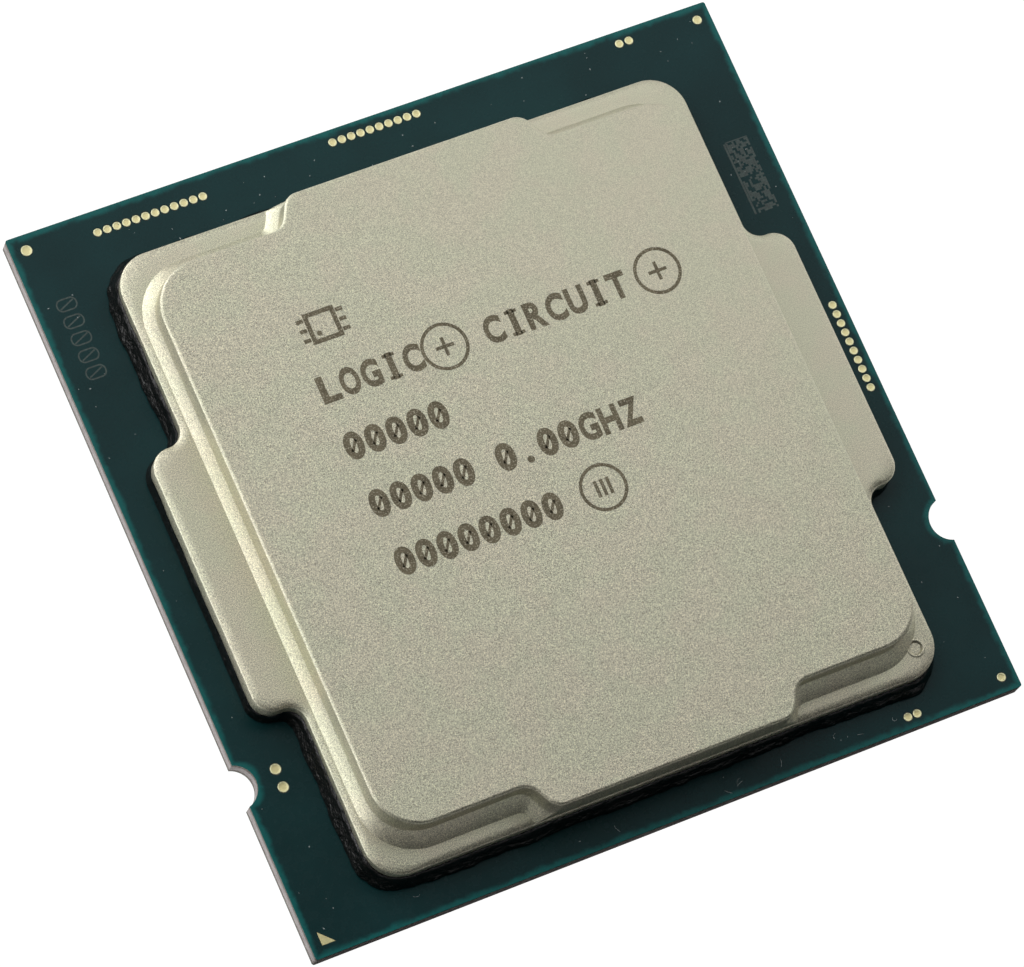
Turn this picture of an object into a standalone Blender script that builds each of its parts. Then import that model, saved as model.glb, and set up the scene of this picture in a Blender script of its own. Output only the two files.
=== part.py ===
"""Land grid array computer processor, as an assembly of its separate pieces.

A nickel-plated heat spreader is bonded over a silicon die on a square laminate package, with gold
pads on the upper side and land fields and capacitors on the underside. Units are metres and +Z is
up. The origin is the middle of the package, on the plane that the capacitors rest on. +X is the
reading direction of the lid, and the pin one corner is at -X, -Y.
"""

import math

import bmesh
import bpy
from mathutils import Matrix, Vector

MM = 0.001
GAP = 0.01 * MM  # clearance left between pieces that touch on the real part
ARC_STEPS = 6  # straight runs in each rounded corner of an outline

# Package outline: a square with a half-round keying notch in the left and right edges.
PACKAGE_SIDE = 37.5 * MM
PACKAGE_CORNER_RADIUS = 0.12 * MM
NOTCH_RADIUS = 1.10 * MM
NOTCH_DEPTH = 0.79 * MM
NOTCH_Y = -9.85 * MM
COPPER_PULL_BACK = 0.33 * MM

# Heights of the laminate's layers, from the underside up.
CAPACITOR_HEIGHT = 0.35 * MM
MASK_THICKNESS = 0.025 * MM
BUILD_UP_THICKNESS = 0.14 * MM
COPPER_THICKNESS = 0.03 * MM
CORE_THICKNESS = 0.55 * MM

BOTTOM_MASK_Z = CAPACITOR_HEIGHT + GAP
LOWER_BUILD_UP_Z = BOTTOM_MASK_Z + MASK_THICKNESS + GAP
LOWER_COPPER_Z = LOWER_BUILD_UP_Z + BUILD_UP_THICKNESS + GAP
CORE_Z = LOWER_COPPER_Z + COPPER_THICKNESS + GAP
UPPER_COPPER_Z = CORE_Z + CORE_THICKNESS + GAP
UPPER_BUILD_UP_Z = UPPER_COPPER_Z + COPPER_THICKNESS + GAP
TOP_MASK_Z = UPPER_BUILD_UP_Z + BUILD_UP_THICKNESS + GAP
PACKAGE_TOP_Z = TOP_MASK_Z + MASK_THICKNESS

# Heat spreader: a flange with an ear on each side, and a plateau with a tab front and back.
SPREADER_Y = -0.665 * MM
FLANGE_HALF_X = 15.01 * MM
FLANGE_HALF_Y = 16.155 * MM
FLANGE_CORNER_RADIUS = 1.8 * MM
EAR_HALF_X = 17.01 * MM
EAR_HALF_Y = 6.8 * MM
EAR_OUTER_RADIUS = 1.05 * MM
EAR_INNER_RADIUS = 0.85 * MM
FLANGE_EDGE_ROLL = 0.16 * MM

PLATEAU_Y = -0.75 * MM
PLATEAU_HALF_X = 14.2 * MM
PLATEAU_HALF_Y = 14.56 * MM
PLATEAU_CORNER_RADIUS = 2.35 * MM
TAB_HALF_Y = 16.05 * MM
TAB_ROOT_HALF_X = 7.05 * MM
TAB_TIP_HALF_X = 6.25 * MM
TAB_RADIUS = 0.9 * MM
PLATEAU_EDGE_ROLL = 0.10 * MM
STEP_FILLET = 0.45 * MM
STEP_FILLET_STEPS = 4
FILLET_SINK = 0.005 * MM  # keeps the fillet's foot off the flange's own plane
LIP = 0.05 * MM  # flange left showing outside a tab

BOND_LINE = 0.15 * MM
FLANGE_Z = PACKAGE_TOP_Z + GAP + BOND_LINE
FLANGE_TOP_Z = PACKAGE_TOP_Z + 1.75 * MM
PLATEAU_TOP_Z = PACKAGE_TOP_Z + 3.66 * MM
CAVITY_TOP_Z = PACKAGE_TOP_Z + 1.11 * MM
CAVITY_HALF_X = 11.5 * MM
CAVITY_HALF_Y = 12.2 * MM
CAVITY_RADIUS = 2.0 * MM
DIMPLE_X = 13.89 * MM
DIMPLE_Y = -15.48 * MM
DIMPLE_RADIUS = 0.38 * MM
DIMPLE_DEPTH = 0.08 * MM

# Sealant between the flange and the package, squeezed out round the flange.
SEALANT_SQUEEZE = 0.45 * MM
SEALANT_EAR_SQUEEZE = 0.07 * MM
SEALANT_CLIMB = 0.9 * MM
SEALANT_BOND_WIDTH = 2.4 * MM
SEALANT_CORNER_FILL = 1.5 * MM
VENT_X = 9.0 * MM
VENT_WIDTH = 2.4 * MM

# Die stack under the lid.
DIE_SIZE_X = 10.4 * MM
DIE_SIZE_Y = 20.6 * MM
DIE_THICKNESS = 0.775 * MM
BUMP_HEIGHT = 0.06 * MM
BUMP_RADIUS = 0.28 * MM
BUMP_COLUMNS = 5
BUMP_ROWS = 10
BUMP_SIDES = 6
BUMP_PLATE_THICKNESS = 0.02 * MM
BUMP_PLATE_INSET = 0.25 * MM
DIE_Z = PACKAGE_TOP_Z + BUMP_PLATE_THICKNESS + BUMP_HEIGHT + 2 * GAP
UNDERFILL_SPREAD = 0.9 * MM
UNDERFILL_CLIMB = 0.42 * MM

# Gold pads on the upper side. Every pad is level with the solder mask round it.
PAD_CLEARANCE = 0.01 * MM
ROW_PITCH = 0.5 * MM
ROW_PAD_RADIUS = 0.205 * MM
ROW_PAD_SIDES = 12
BAR_WIDTH = 0.12 * MM
BAR_DEPTH = 0.04 * MM
ROUND_PAD_SIDES = 24
PIN_ONE_CORNER = -18.2 * MM
PIN_ONE_LEG = 0.67 * MM

# One entry for each row: name, first pad's x and y, pads along x, pads along y.
PAD_ROWS = (
    ("pad_row_back_left", -14.39 * MM, 17.66 * MM, 12, 1),
    ("pad_row_back_middle", -1.82 * MM, 18.10 * MM, 10, 1),
    ("pad_column_right", 18.16 * MM, -2.42 * MM, 1, 10),
)

# One entry for each separate round pad: name, x, y, radius.
ROUND_PADS = (
    ("corner_pad_back_left", -17.95 * MM, 17.95 * MM, 0.27 * MM),
    ("corner_pad_back_right", 18.02 * MM, 17.97 * MM, 0.23 * MM),
    ("corner_pad_front_right", 17.97 * MM, -18.0 * MM, 0.22 * MM),
    ("test_pad_back_inner", 13.76 * MM, 18.11 * MM, 0.21 * MM),
    ("test_pad_back_outer", 14.29 * MM, 18.11 * MM, 0.21 * MM),
    ("test_pad_left_rear", -16.89 * MM, -9.68 * MM, 0.265 * MM),
    ("test_pad_left_front", -16.89 * MM, -10.60 * MM, 0.265 * MM),
    ("test_pad_front_inner", 12.76 * MM, -18.16 * MM, 0.21 * MM),
    ("test_pad_front_outer", 13.26 * MM, -18.16 * MM, 0.21 * MM),
)

# Underside: four fields of lands round a window that holds the capacitors.
LAND_HALF_X = 17.5 * MM
LAND_HALF_Y = 18.15 * MM
WINDOW_HALF_X = 11.4 * MM
WINDOW_HALF_Y = 8.2 * MM
FIELD_SPACE = 0.3 * MM
CAPACITOR_LENGTH = 1.0 * MM
CAPACITOR_WIDTH = 0.5 * MM
CAPACITOR_BEVEL = 0.03 * MM
CAPACITOR_COLUMNS = 6
CAPACITOR_ROWS = 4
CAPACITOR_PITCH_X = 3.4 * MM
CAPACITOR_PITCH_Y = 3.6 * MM

OBJECT_COLLECTION = "cpu_processor"
CUTTER_COLLECTION = "cutters"

# Each finish: colour, roughness, metallic.
FINISHES = {
    "laminate": ((0.38, 0.36, 0.31), 0.7, 0.0),
    "copper": ((0.72, 0.35, 0.2), 0.35, 1.0),
    "build_up": ((0.30, 0.31, 0.26), 0.6, 0.0),
    "solder_mask": ((0.018, 0.046, 0.048), 0.25, 0.0),
    "nickel": ((0.50, 0.48, 0.40), 0.4, 1.0),
    "sealant": ((0.01, 0.01, 0.01), 0.35, 0.0),
    "silicon": ((0.16, 0.16, 0.18), 0.15, 0.6),
    "solder": ((0.55, 0.55, 0.56), 0.4, 1.0),
    "underfill": ((0.05, 0.05, 0.06), 0.4, 0.0),
    "gold": ((0.83, 0.66, 0.30), 0.3, 1.0),
    "ceramic": ((0.42, 0.33, 0.25), 0.6, 0.0),
}


def clear_scene():
    """Remove every object, so that the model starts from nothing."""
    for obj in list(bpy.data.objects):
        bpy.data.objects.remove(obj, do_unlink=True)


def new_collection(name):
    """A collection linked to the scene."""
    group = bpy.data.collections.new(name)
    bpy.context.scene.collection.children.link(group)
    return group


def make_finish(name):
    """A Principled material from the table of finishes."""
    colour, roughness, metallic = FINISHES[name]
    material = bpy.data.materials.new(name)
    material.use_nodes = True
    shader = material.node_tree.nodes["Principled BSDF"]
    shader.inputs["Base Color"].default_value = (*colour, 1.0)
    shader.inputs["Roughness"].default_value = roughness
    shader.inputs["Metallic"].default_value = metallic
    return material


def add_part(name, mesh, finish, z=0.0):
    """Place a mesh in the object's collection with its own material."""
    part = bpy.data.objects.new(name, mesh)
    part.location.z = z
    bpy.data.collections[OBJECT_COLLECTION].objects.link(part)
    part.data.materials.clear()
    part.data.materials.append(make_finish(finish))
    return part


def add_cutter(name, mesh, z=0.0):
    """Place a mesh in the cutters' collection, out of the render."""
    cutter = bpy.data.objects.new(name, mesh)
    cutter.location.z = z
    bpy.data.collections[CUTTER_COLLECTION].objects.link(cutter)
    cutter.hide_render = True
    cutter.display_type = "WIRE"
    return cutter


def boolean(part, operation, other):
    """Cut, join or intersect a part with another object, by a modifier that stays on it."""
    modifier = part.modifiers.new(f"{operation.lower()}_{other.name}", "BOOLEAN")
    modifier.operation = operation
    modifier.solver = "EXACT"
    modifier.object = other
    return part


def rounded_outline(corners):
    """Points of a closed anticlockwise outline from (x, y, radius) corners, each turned as an arc."""
    points = []
    for index, (x, y, radius) in enumerate(corners):
        here = Vector((x, y))
        back = (Vector(corners[index - 1][:2]) - here).normalized()
        ahead = (Vector(corners[(index + 1) % len(corners)][:2]) - here).normalized()
        half_angle = back.angle(ahead) / 2
        centre = here + (back + ahead).normalized() * radius / math.sin(half_angle)
        first = here + back * radius / math.tan(half_angle) - centre
        last = here + ahead * radius / math.tan(half_angle) - centre
        sweep = math.atan2(first.cross(last), first.dot(last))
        start = math.atan2(first.y, first.x)
        for step in range(ARC_STEPS + 1):
            angle = start + sweep * step / ARC_STEPS
            points.append((centre.x + radius * math.cos(angle), centre.y + radius * math.sin(angle)))
    return points


def rectangle_outline(half_x, half_y, radius, centre_y=0.0):
    """A rectangle with round corners."""
    return rounded_outline(
        [
            (half_x, centre_y - half_y, radius),
            (half_x, centre_y + half_y, radius),
            (-half_x, centre_y + half_y, radius),
            (-half_x, centre_y - half_y, radius),
        ]
    )


def notch_arc(side, inset):
    """The points of one edge's notch, in the order that the anticlockwise outline meets them."""
    radius = NOTCH_RADIUS + inset
    centre_x = PACKAGE_SIDE / 2 + NOTCH_RADIUS - NOTCH_DEPTH
    half_angle = math.acos((centre_x - PACKAGE_SIDE / 2 + inset) / radius)
    middle = math.pi if side > 0 else 0.0
    steps = 2 * ARC_STEPS
    angles = [middle + half_angle * (1 - 2 * step / steps) for step in range(steps + 1)]
    return [(side * centre_x + radius * math.cos(a), NOTCH_Y + radius * math.sin(a)) for a in angles]


def package_outline(inset=0.0):
    """The package's square with its two notches, drawn in by an inset."""
    half = PACKAGE_SIDE / 2 - inset
    corner = rectangle_outline(half, half, PACKAGE_CORNER_RADIUS)
    each = ARC_STEPS + 1
    front_right, back_right, back_left, front_left = (
        corner[index * each : (index + 1) * each] for index in range(4)
    )
    return front_right + notch_arc(1, inset) + back_right + back_left + notch_arc(-1, inset) + front_left


def eared_outline(grow, ear_grow, outer, inner, corner):
    """The flange's outline with an ear on each side, grown by one amount and by another at the ears."""
    x = FLANGE_HALF_X + grow
    ear_x = EAR_HALF_X + ear_grow
    low = SPREADER_Y - FLANGE_HALF_Y - grow
    high = SPREADER_Y + FLANGE_HALF_Y + grow
    ear_low = SPREADER_Y - EAR_HALF_Y - ear_grow
    ear_high = SPREADER_Y + EAR_HALF_Y + ear_grow
    return rounded_outline(
        [
            (x, low, corner),
            (x, ear_low, inner),
            (ear_x, ear_low, outer),
            (ear_x, ear_high, outer),
            (x, ear_high, inner),
            (x, high, corner),
            (-x, high, corner),
            (-x, ear_high, inner),
            (-ear_x, ear_high, outer),
            (-ear_x, ear_low, outer),
            (-x, ear_low, inner),
            (-x, low, corner),
        ]
    )


def flange_outline(grow=0.0):
    """The flange's outline, offset outwards by an amount."""
    return eared_outline(
        grow, grow, EAR_OUTER_RADIUS + grow, EAR_INNER_RADIUS - grow, FLANGE_CORNER_RADIUS + grow
    )


def plateau_outline(grow=0.0):
    """The plateau's outline with its front and back tabs, offset outwards by an amount."""
    x = PLATEAU_HALF_X + grow
    low = PLATEAU_Y - PLATEAU_HALF_Y - grow
    high = PLATEAU_Y + PLATEAU_HALF_Y + grow
    tab_low = PLATEAU_Y - TAB_HALF_Y - grow
    tab_high = PLATEAU_Y + TAB_HALF_Y + grow
    root = TAB_ROOT_HALF_X + grow * 0.6
    tip = TAB_TIP_HALF_X + grow * 0.6
    corner = PLATEAU_CORNER_RADIUS + grow
    outer = TAB_RADIUS + grow
    inner = TAB_RADIUS - grow
    return rounded_outline(
        [
            (x, low, corner),
            (x, high, corner),
            (root, high, inner),
            (tip, tab_high, outer),
            (-tip, tab_high, outer),
            (-root, high, inner),
            (-x, high, corner),
            (-x, low, corner),
            (-root, low, inner),
            (-tip, tab_low, outer),
            (tip, tab_low, outer),
            (root, low, inner),
        ]
    )


def plate_mesh(name, outline, thickness):
    """A flat plate, centred on Z, from a filled 2D curve that is made a welded mesh."""
    curve = bpy.data.curves.new(f"{name}_outline", "CURVE")
    curve.dimensions = "2D"
    curve.fill_mode = "BOTH"
    curve.extrude = thickness / 2
    spline = curve.splines.new("POLY")
    spline.points.add(len(outline) - 1)
    for point, (x, y) in zip(spline.points, outline):
        point.co = (x, y, 0.0, 1.0)
    spline.use_cyclic_u = True
    drawn = bpy.data.objects.new(f"{name}_drawn", curve)
    bpy.context.scene.collection.objects.link(drawn)
    graph = bpy.context.evaluated_depsgraph_get()
    mesh = bpy.data.meshes.new_from_object(drawn.evaluated_get(graph))
    bpy.data.objects.remove(drawn, do_unlink=True)
    weld(mesh)
    return mesh


def weld(mesh):
    """Join a mesh's loose caps to its walls and turn its faces outwards."""
    form = bmesh.new()
    form.from_mesh(mesh)
    bmesh.ops.remove_doubles(form, verts=form.verts, dist=0.0005 * MM)
    bmesh.ops.recalc_face_normals(form, faces=form.faces)
    form.to_mesh(mesh)
    form.free()


def plate(name, outline, low, high, finish):
    """A flat part between two heights."""
    return add_part(name, plate_mesh(name, outline, high - low), finish, (low + high) / 2)


def plate_cutter(name, outline, low, high):
    """A flat cutter between two heights."""
    return add_cutter(name, plate_mesh(name, outline, high - low), (low + high) / 2)


def loft_mesh(name, levels):
    """A solid through a stack of (outline, height) levels that all have the same number of points."""
    form = bmesh.new()
    rings = [[form.verts.new((x, y, z)) for x, y in outline] for outline, z in levels]
    for lower, upper in zip(rings, rings[1:]):
        for index, vert in enumerate(lower):
            after = (index + 1) % len(lower)
            form.faces.new((vert, lower[after], upper[after], upper[index]))
    form.faces.new(reversed(rings[0]))
    form.faces.new(rings[-1])
    mesh = bpy.data.meshes.new(name)
    form.to_mesh(mesh)
    form.free()
    return mesh


def discs_mesh(name, discs, low, high, sides):
    """Separate upright discs, each from (x, y, radius), between two heights."""
    form = bmesh.new()
    for x, y, radius in discs:
        bmesh.ops.create_cone(
            form,
            cap_ends=True,
            segments=sides,
            radius1=radius,
            radius2=radius,
            depth=high - low,
            matrix=Matrix.Translation((x, y, (low + high) / 2)),
        )
    mesh = bpy.data.meshes.new(name)
    form.to_mesh(mesh)
    form.free()
    return mesh


def box_mesh(name, low, high):
    """A box between two corners."""
    form = bmesh.new()
    size = Vector(high) - Vector(low)
    middle = (Vector(high) + Vector(low)) / 2
    bmesh.ops.create_cube(form, size=1.0, matrix=Matrix.Translation(middle) @ Matrix.Diagonal((*size, 1.0)))
    mesh = bpy.data.meshes.new(name)
    form.to_mesh(mesh)
    form.free()
    return mesh


def row_discs(first_x, first_y, count_x, count_y, grow):
    """The (x, y, radius) of each pad in a row, grown by a clearance."""
    return [
        (first_x + column * ROW_PITCH, first_y + line * ROW_PITCH, ROW_PAD_RADIUS + grow)
        for column in range(count_x)
        for line in range(count_y)
    ]


def row_bar(first_x, first_y, count_x, count_y, grow):
    """The low and high corners of the bar that joins a row's pads under the mask."""
    reach = BAR_WIDTH / 2 + grow
    low = (first_x - reach, first_y - reach, TOP_MASK_Z - GAP - BAR_DEPTH - grow)
    high = (
        first_x + (count_x - 1) * ROW_PITCH + reach,
        first_y + (count_y - 1) * ROW_PITCH + reach,
        TOP_MASK_Z - GAP - BAR_DEPTH / 4,
    )
    return low, high


def pin_one_outline(grow):
    """The right-angled triangle that marks the pin one corner."""
    low = PIN_ONE_CORNER - grow
    reach = PIN_ONE_CORNER + PIN_ONE_LEG + grow * (1 + math.sqrt(2))
    return [(low, low), (reach, low), (low, reach)]


def build_core():
    """The stiff glass-cloth core of the laminate."""
    plate("core_laminate", package_outline(), CORE_Z, CORE_Z + CORE_THICKNESS, "laminate")


def build_copper_planes():
    """The copper planes on the core, pulled back from the package's edge."""
    outline = package_outline(COPPER_PULL_BACK)
    for name, low in (("lower_copper_plane", LOWER_COPPER_Z), ("upper_copper_plane", UPPER_COPPER_Z)):
        plate(name, outline, low, low + COPPER_THICKNESS, "copper")


def build_build_up_layers():
    """The wiring layers above and below the core; the upper one has grooves for the row bars."""
    plate(
        "lower_build_up",
        package_outline(),
        LOWER_BUILD_UP_Z,
        LOWER_BUILD_UP_Z + BUILD_UP_THICKNESS,
        "build_up",
    )
    upper = plate(
        "upper_build_up",
        package_outline(),
        UPPER_BUILD_UP_Z,
        UPPER_BUILD_UP_Z + BUILD_UP_THICKNESS,
        "build_up",
    )
    for name, x, y, count_x, count_y in PAD_ROWS:
        low, high = row_bar(x, y, count_x, count_y, PAD_CLEARANCE)
        groove = add_cutter(f"groove_{name}", box_mesh("groove", low, (high[0], high[1], TOP_MASK_Z)))
        boolean(upper, "DIFFERENCE", groove)


def build_top_mask():
    """The upper solder mask, open over every pad."""
    mask = plate("top_solder_mask", package_outline(), TOP_MASK_Z, PACKAGE_TOP_Z, "solder_mask")
    low = TOP_MASK_Z - MASK_THICKNESS
    high = PACKAGE_TOP_Z + MASK_THICKNESS
    rows = []
    for _, x, y, count_x, count_y in PAD_ROWS:
        rows += row_discs(x, y, count_x, count_y, PAD_CLEARANCE)
    openings = add_cutter("row_openings", discs_mesh("row_openings", rows, low, high, ROW_PAD_SIDES))
    boolean(mask, "DIFFERENCE", openings)
    rounds = [(x, y, radius + PAD_CLEARANCE) for _, x, y, radius in ROUND_PADS]
    holes = add_cutter("round_openings", discs_mesh("round_openings", rounds, low, high, ROUND_PAD_SIDES))
    boolean(mask, "DIFFERENCE", holes)
    corner = plate_cutter("pin_one_opening", pin_one_outline(PAD_CLEARANCE), low, high)
    boolean(mask, "DIFFERENCE", corner)


def build_pads():
    """The gold pads: separate round ones, the pin one triangle, and rows joined by a bar."""
    for name, x, y, radius in ROUND_PADS:
        add_part(
            name,
            discs_mesh(name, [(x, y, radius)], TOP_MASK_Z, PACKAGE_TOP_Z, ROUND_PAD_SIDES),
            "gold",
        )
    plate("pin_one_mark", pin_one_outline(0.0), TOP_MASK_Z, PACKAGE_TOP_Z, "gold")
    for name, x, y, count_x, count_y in PAD_ROWS:
        low, high = row_bar(x, y, count_x, count_y, 0.0)
        row = add_part(name, box_mesh(name, low, high), "gold")
        foot = high[2] - BAR_DEPTH / 4
        discs = discs_mesh(name, row_discs(x, y, count_x, count_y, 0.0), TOP_MASK_Z, PACKAGE_TOP_Z, ROW_PAD_SIDES)
        heads = add_cutter(f"heads_{name}", discs)
        boolean(row, "UNION", heads)
        stems = [(px, py, BAR_WIDTH / 3) for px, py, _ in row_discs(x, y, count_x, count_y, 0.0)]
        necks = add_cutter(
            f"necks_{name}",
            discs_mesh(name, stems, foot, TOP_MASK_Z + MASK_THICKNESS / 2, ROW_PAD_SIDES // 2),
        )
        boolean(row, "UNION", necks)


def field_boxes():
    """The four land fields: name, low x, high x, low y, high y."""
    edge_x = WINDOW_HALF_X + FIELD_SPACE
    edge_y = WINDOW_HALF_Y + FIELD_SPACE
    side_y = WINDOW_HALF_Y
    return (
        ("land_field_front", -LAND_HALF_X, LAND_HALF_X, -LAND_HALF_Y, -edge_y),
        ("land_field_back", -LAND_HALF_X, LAND_HALF_X, edge_y, LAND_HALF_Y),
        ("land_field_left", -LAND_HALF_X, -edge_x, -side_y, side_y),
        ("land_field_right", edge_x, LAND_HALF_X, -side_y, side_y),
    )


def build_underside():
    """The lower solder mask and the land fields in its windows."""
    top = BOTTOM_MASK_Z + MASK_THICKNESS
    mask = plate("bottom_solder_mask", package_outline(), BOTTOM_MASK_Z, top, "solder_mask")
    for name, low_x, high_x, low_y, high_y in field_boxes():
        add_part(name, box_mesh(name, (low_x, low_y, BOTTOM_MASK_Z), (high_x, high_y, top)), "gold")
        low = (low_x - PAD_CLEARANCE, low_y - PAD_CLEARANCE, BOTTOM_MASK_Z - MASK_THICKNESS)
        high = (high_x + PAD_CLEARANCE, high_y + PAD_CLEARANCE, top + MASK_THICKNESS)
        boolean(mask, "DIFFERENCE", add_cutter(f"window_{name}", box_mesh("window", low, high)))


def build_capacitors():
    """The capacitors on the underside, in a grid inside the window between the land fields."""
    for row in range(CAPACITOR_ROWS):
        for column in range(CAPACITOR_COLUMNS):
            x = (column - (CAPACITOR_COLUMNS - 1) / 2) * CAPACITOR_PITCH_X
            y = (row - (CAPACITOR_ROWS - 1) / 2) * CAPACITOR_PITCH_Y
            name = f"land_capacitor_{row * CAPACITOR_COLUMNS + column + 1:02d}"
            half = Vector((CAPACITOR_LENGTH, CAPACITOR_WIDTH, CAPACITOR_HEIGHT)) / 2
            part = add_part(name, box_mesh(name, -half, half), "ceramic", CAPACITOR_HEIGHT / 2)
            part.location.x = x
            part.location.y = y
            edges = part.modifiers.new("edges", "BEVEL")
            edges.width = CAPACITOR_BEVEL
            edges.segments = 1


def flange_mesh():
    """The flange, with the rolled upper edge that stamping leaves."""
    roll = FLANGE_EDGE_ROLL
    levels = [
        (flange_outline(), FLANGE_Z),
        (flange_outline(), FLANGE_TOP_Z - roll),
        (flange_outline(-0.25 * roll), FLANGE_TOP_Z - 0.35 * roll),
        (flange_outline(-roll), FLANGE_TOP_Z),
    ]
    return loft_mesh("flange", levels)


def plateau_mesh():
    """The plateau, with a hollow fillet at its foot and a rolled upper edge."""
    foot = FLANGE_TOP_Z - FILLET_SINK
    levels = [(plateau_outline(STEP_FILLET), foot - STEP_FILLET)]
    for step in range(STEP_FILLET_STEPS + 1):
        angle = math.pi / 2 * step / STEP_FILLET_STEPS
        grow = STEP_FILLET * (1 - math.sin(angle))
        levels.append((plateau_outline(grow), foot + STEP_FILLET * (1 - math.cos(angle))))
    roll = PLATEAU_EDGE_ROLL
    levels.append((plateau_outline(), PLATEAU_TOP_Z - roll))
    levels.append((plateau_outline(-0.3 * roll), PLATEAU_TOP_Z - 0.3 * roll))
    levels.append((plateau_outline(-roll), PLATEAU_TOP_Z))
    return loft_mesh("plateau", levels)


def build_heat_spreader():
    """The lid: flange and plateau in one piece, hollow over the die, with a stamped dimple."""
    spreader = add_part("heat_spreader", plateau_mesh(), "nickel")
    trim = plate_cutter("plateau_trim", flange_outline(-LIP), FLANGE_Z, PLATEAU_TOP_Z + MM)
    boolean(spreader, "INTERSECT", trim)
    boolean(spreader, "UNION", add_cutter("flange", flange_mesh()))
    cavity_outline = rectangle_outline(CAVITY_HALF_X, CAVITY_HALF_Y, CAVITY_RADIUS, SPREADER_Y)
    cavity = plate_cutter("cavity", cavity_outline, FLANGE_Z - MM, CAVITY_TOP_Z)
    boolean(spreader, "DIFFERENCE", cavity)
    dimple = discs_mesh(
        "dimple",
        [(DIMPLE_X, DIMPLE_Y, DIMPLE_RADIUS)],
        FLANGE_TOP_Z - DIMPLE_DEPTH,
        FLANGE_TOP_Z + DIMPLE_DEPTH,
        ROUND_PAD_SIDES // 2,
    )
    boolean(spreader, "DIFFERENCE", add_cutter("dimple", dimple))


def sealant_outline(share):
    """The bead's outline, with a share of its full squeeze, from the flange's wall outwards."""
    grow = 2 * GAP + SEALANT_SQUEEZE * share
    ear_grow = 2 * GAP + SEALANT_EAR_SQUEEZE * share
    inner = EAR_INNER_RADIUS - grow + (SEALANT_CORNER_FILL - EAR_INNER_RADIUS + grow) * 0.3 * share
    return eared_outline(grow, ear_grow, EAR_OUTER_RADIUS, max(inner, 0.3 * MM), FLANGE_CORNER_RADIUS + grow)


def build_sealant():
    """The sealant: a bond line under the flange and a bead that climbs its wall, with a vent gap."""
    low = PACKAGE_TOP_Z + GAP
    levels = [
        (sealant_outline(1.0), low),
        (sealant_outline(0.85), low + 0.35 * SEALANT_CLIMB),
        (sealant_outline(0.4), low + 0.75 * SEALANT_CLIMB),
        (sealant_outline(0.1), low + SEALANT_CLIMB),
    ]
    sealant = add_part("lid_sealant", loft_mesh("lid_sealant", levels), "sealant")
    pocket = plate_cutter("flange_pocket", flange_outline(GAP), FLANGE_Z - GAP, PLATEAU_TOP_Z)
    boolean(sealant, "DIFFERENCE", pocket)
    inner = rectangle_outline(
        FLANGE_HALF_X - SEALANT_BOND_WIDTH,
        FLANGE_HALF_Y - SEALANT_BOND_WIDTH,
        CAVITY_RADIUS,
        SPREADER_Y,
    )
    boolean(sealant, "DIFFERENCE", plate_cutter("bond_inside", inner, low - MM, FLANGE_TOP_Z))
    vent = box_mesh(
        "vent",
        (VENT_X - VENT_WIDTH / 2, SPREADER_Y + FLANGE_HALF_Y / 2, low - MM),
        (VENT_X + VENT_WIDTH / 2, PACKAGE_SIDE / 2, FLANGE_TOP_Z),
    )
    boolean(sealant, "DIFFERENCE", add_cutter("vent", vent))


def build_bumps():
    """The bumps under the die, joined by the thin plate that stands for the die's own pads."""
    half_x = DIE_SIZE_X / 2 - BUMP_PLATE_INSET
    half_y = DIE_SIZE_Y / 2 - BUMP_PLATE_INSET
    top = DIE_Z - GAP
    low = (-half_x, SPREADER_Y - half_y, top - BUMP_PLATE_THICKNESS)
    high = (half_x, SPREADER_Y + half_y, top)
    array = add_part("bump_array", box_mesh("bump_array", low, high), "solder")
    bumps = [
        (
            half_x * (2 * (column + 0.5) / BUMP_COLUMNS - 1),
            SPREADER_Y + half_y * (2 * (row + 0.5) / BUMP_ROWS - 1),
            BUMP_RADIUS,
        )
        for column in range(BUMP_COLUMNS)
        for row in range(BUMP_ROWS)
    ]
    foot = PACKAGE_TOP_Z + GAP
    mesh = discs_mesh("bumps", bumps, foot, top - BUMP_PLATE_THICKNESS / 2, BUMP_SIDES)
    boolean(array, "UNION", add_cutter("bumps", mesh))


def build_die_stack():
    """The silicon die, the underfill round it and the solder layer between it and the lid."""
    low = (-DIE_SIZE_X / 2, SPREADER_Y - DIE_SIZE_Y / 2, DIE_Z)
    high = (DIE_SIZE_X / 2, SPREADER_Y + DIE_SIZE_Y / 2, DIE_Z + DIE_THICKNESS)
    add_part("silicon_die", box_mesh("silicon_die", low, high), "silicon")
    solder_low = (low[0], low[1], high[2] + GAP)
    solder_high = (high[0], high[1], CAVITY_TOP_Z - GAP)
    add_part("thermal_solder", box_mesh("thermal_solder", solder_low, solder_high), "solder")
    foot = PACKAGE_TOP_Z + GAP
    spread = UNDERFILL_SPREAD
    half_x = DIE_SIZE_X / 2 + GAP
    half_y = DIE_SIZE_Y / 2 + GAP
    levels = [
        (rectangle_outline(half_x + spread, half_y + spread, spread, SPREADER_Y), foot),
        (rectangle_outline(half_x + 0.4 * spread, half_y + 0.4 * spread, 0.5 * spread, SPREADER_Y),
         foot + 0.4 * UNDERFILL_CLIMB),
        (rectangle_outline(half_x + 0.1 * spread, half_y + 0.1 * spread, 0.2 * spread, SPREADER_Y),
         foot + UNDERFILL_CLIMB),
    ]
    underfill = add_part("underfill", loft_mesh("underfill", levels), "underfill")
    inside = box_mesh(
        "die_space",
        (low[0] - GAP, low[1] - GAP, PACKAGE_TOP_Z - MM),
        (high[0] + GAP, high[1] + GAP, high[2]),
    )
    boolean(underfill, "DIFFERENCE", add_cutter("die_space", inside))


def shade_parts():
    """Smooth shading with sharp edges kept, on every part."""
    for part in bpy.data.collections[OBJECT_COLLECTION].objects:
        part.data.shade_smooth()
        part.data.set_sharp_from_angle(angle=math.radians(30))


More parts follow.
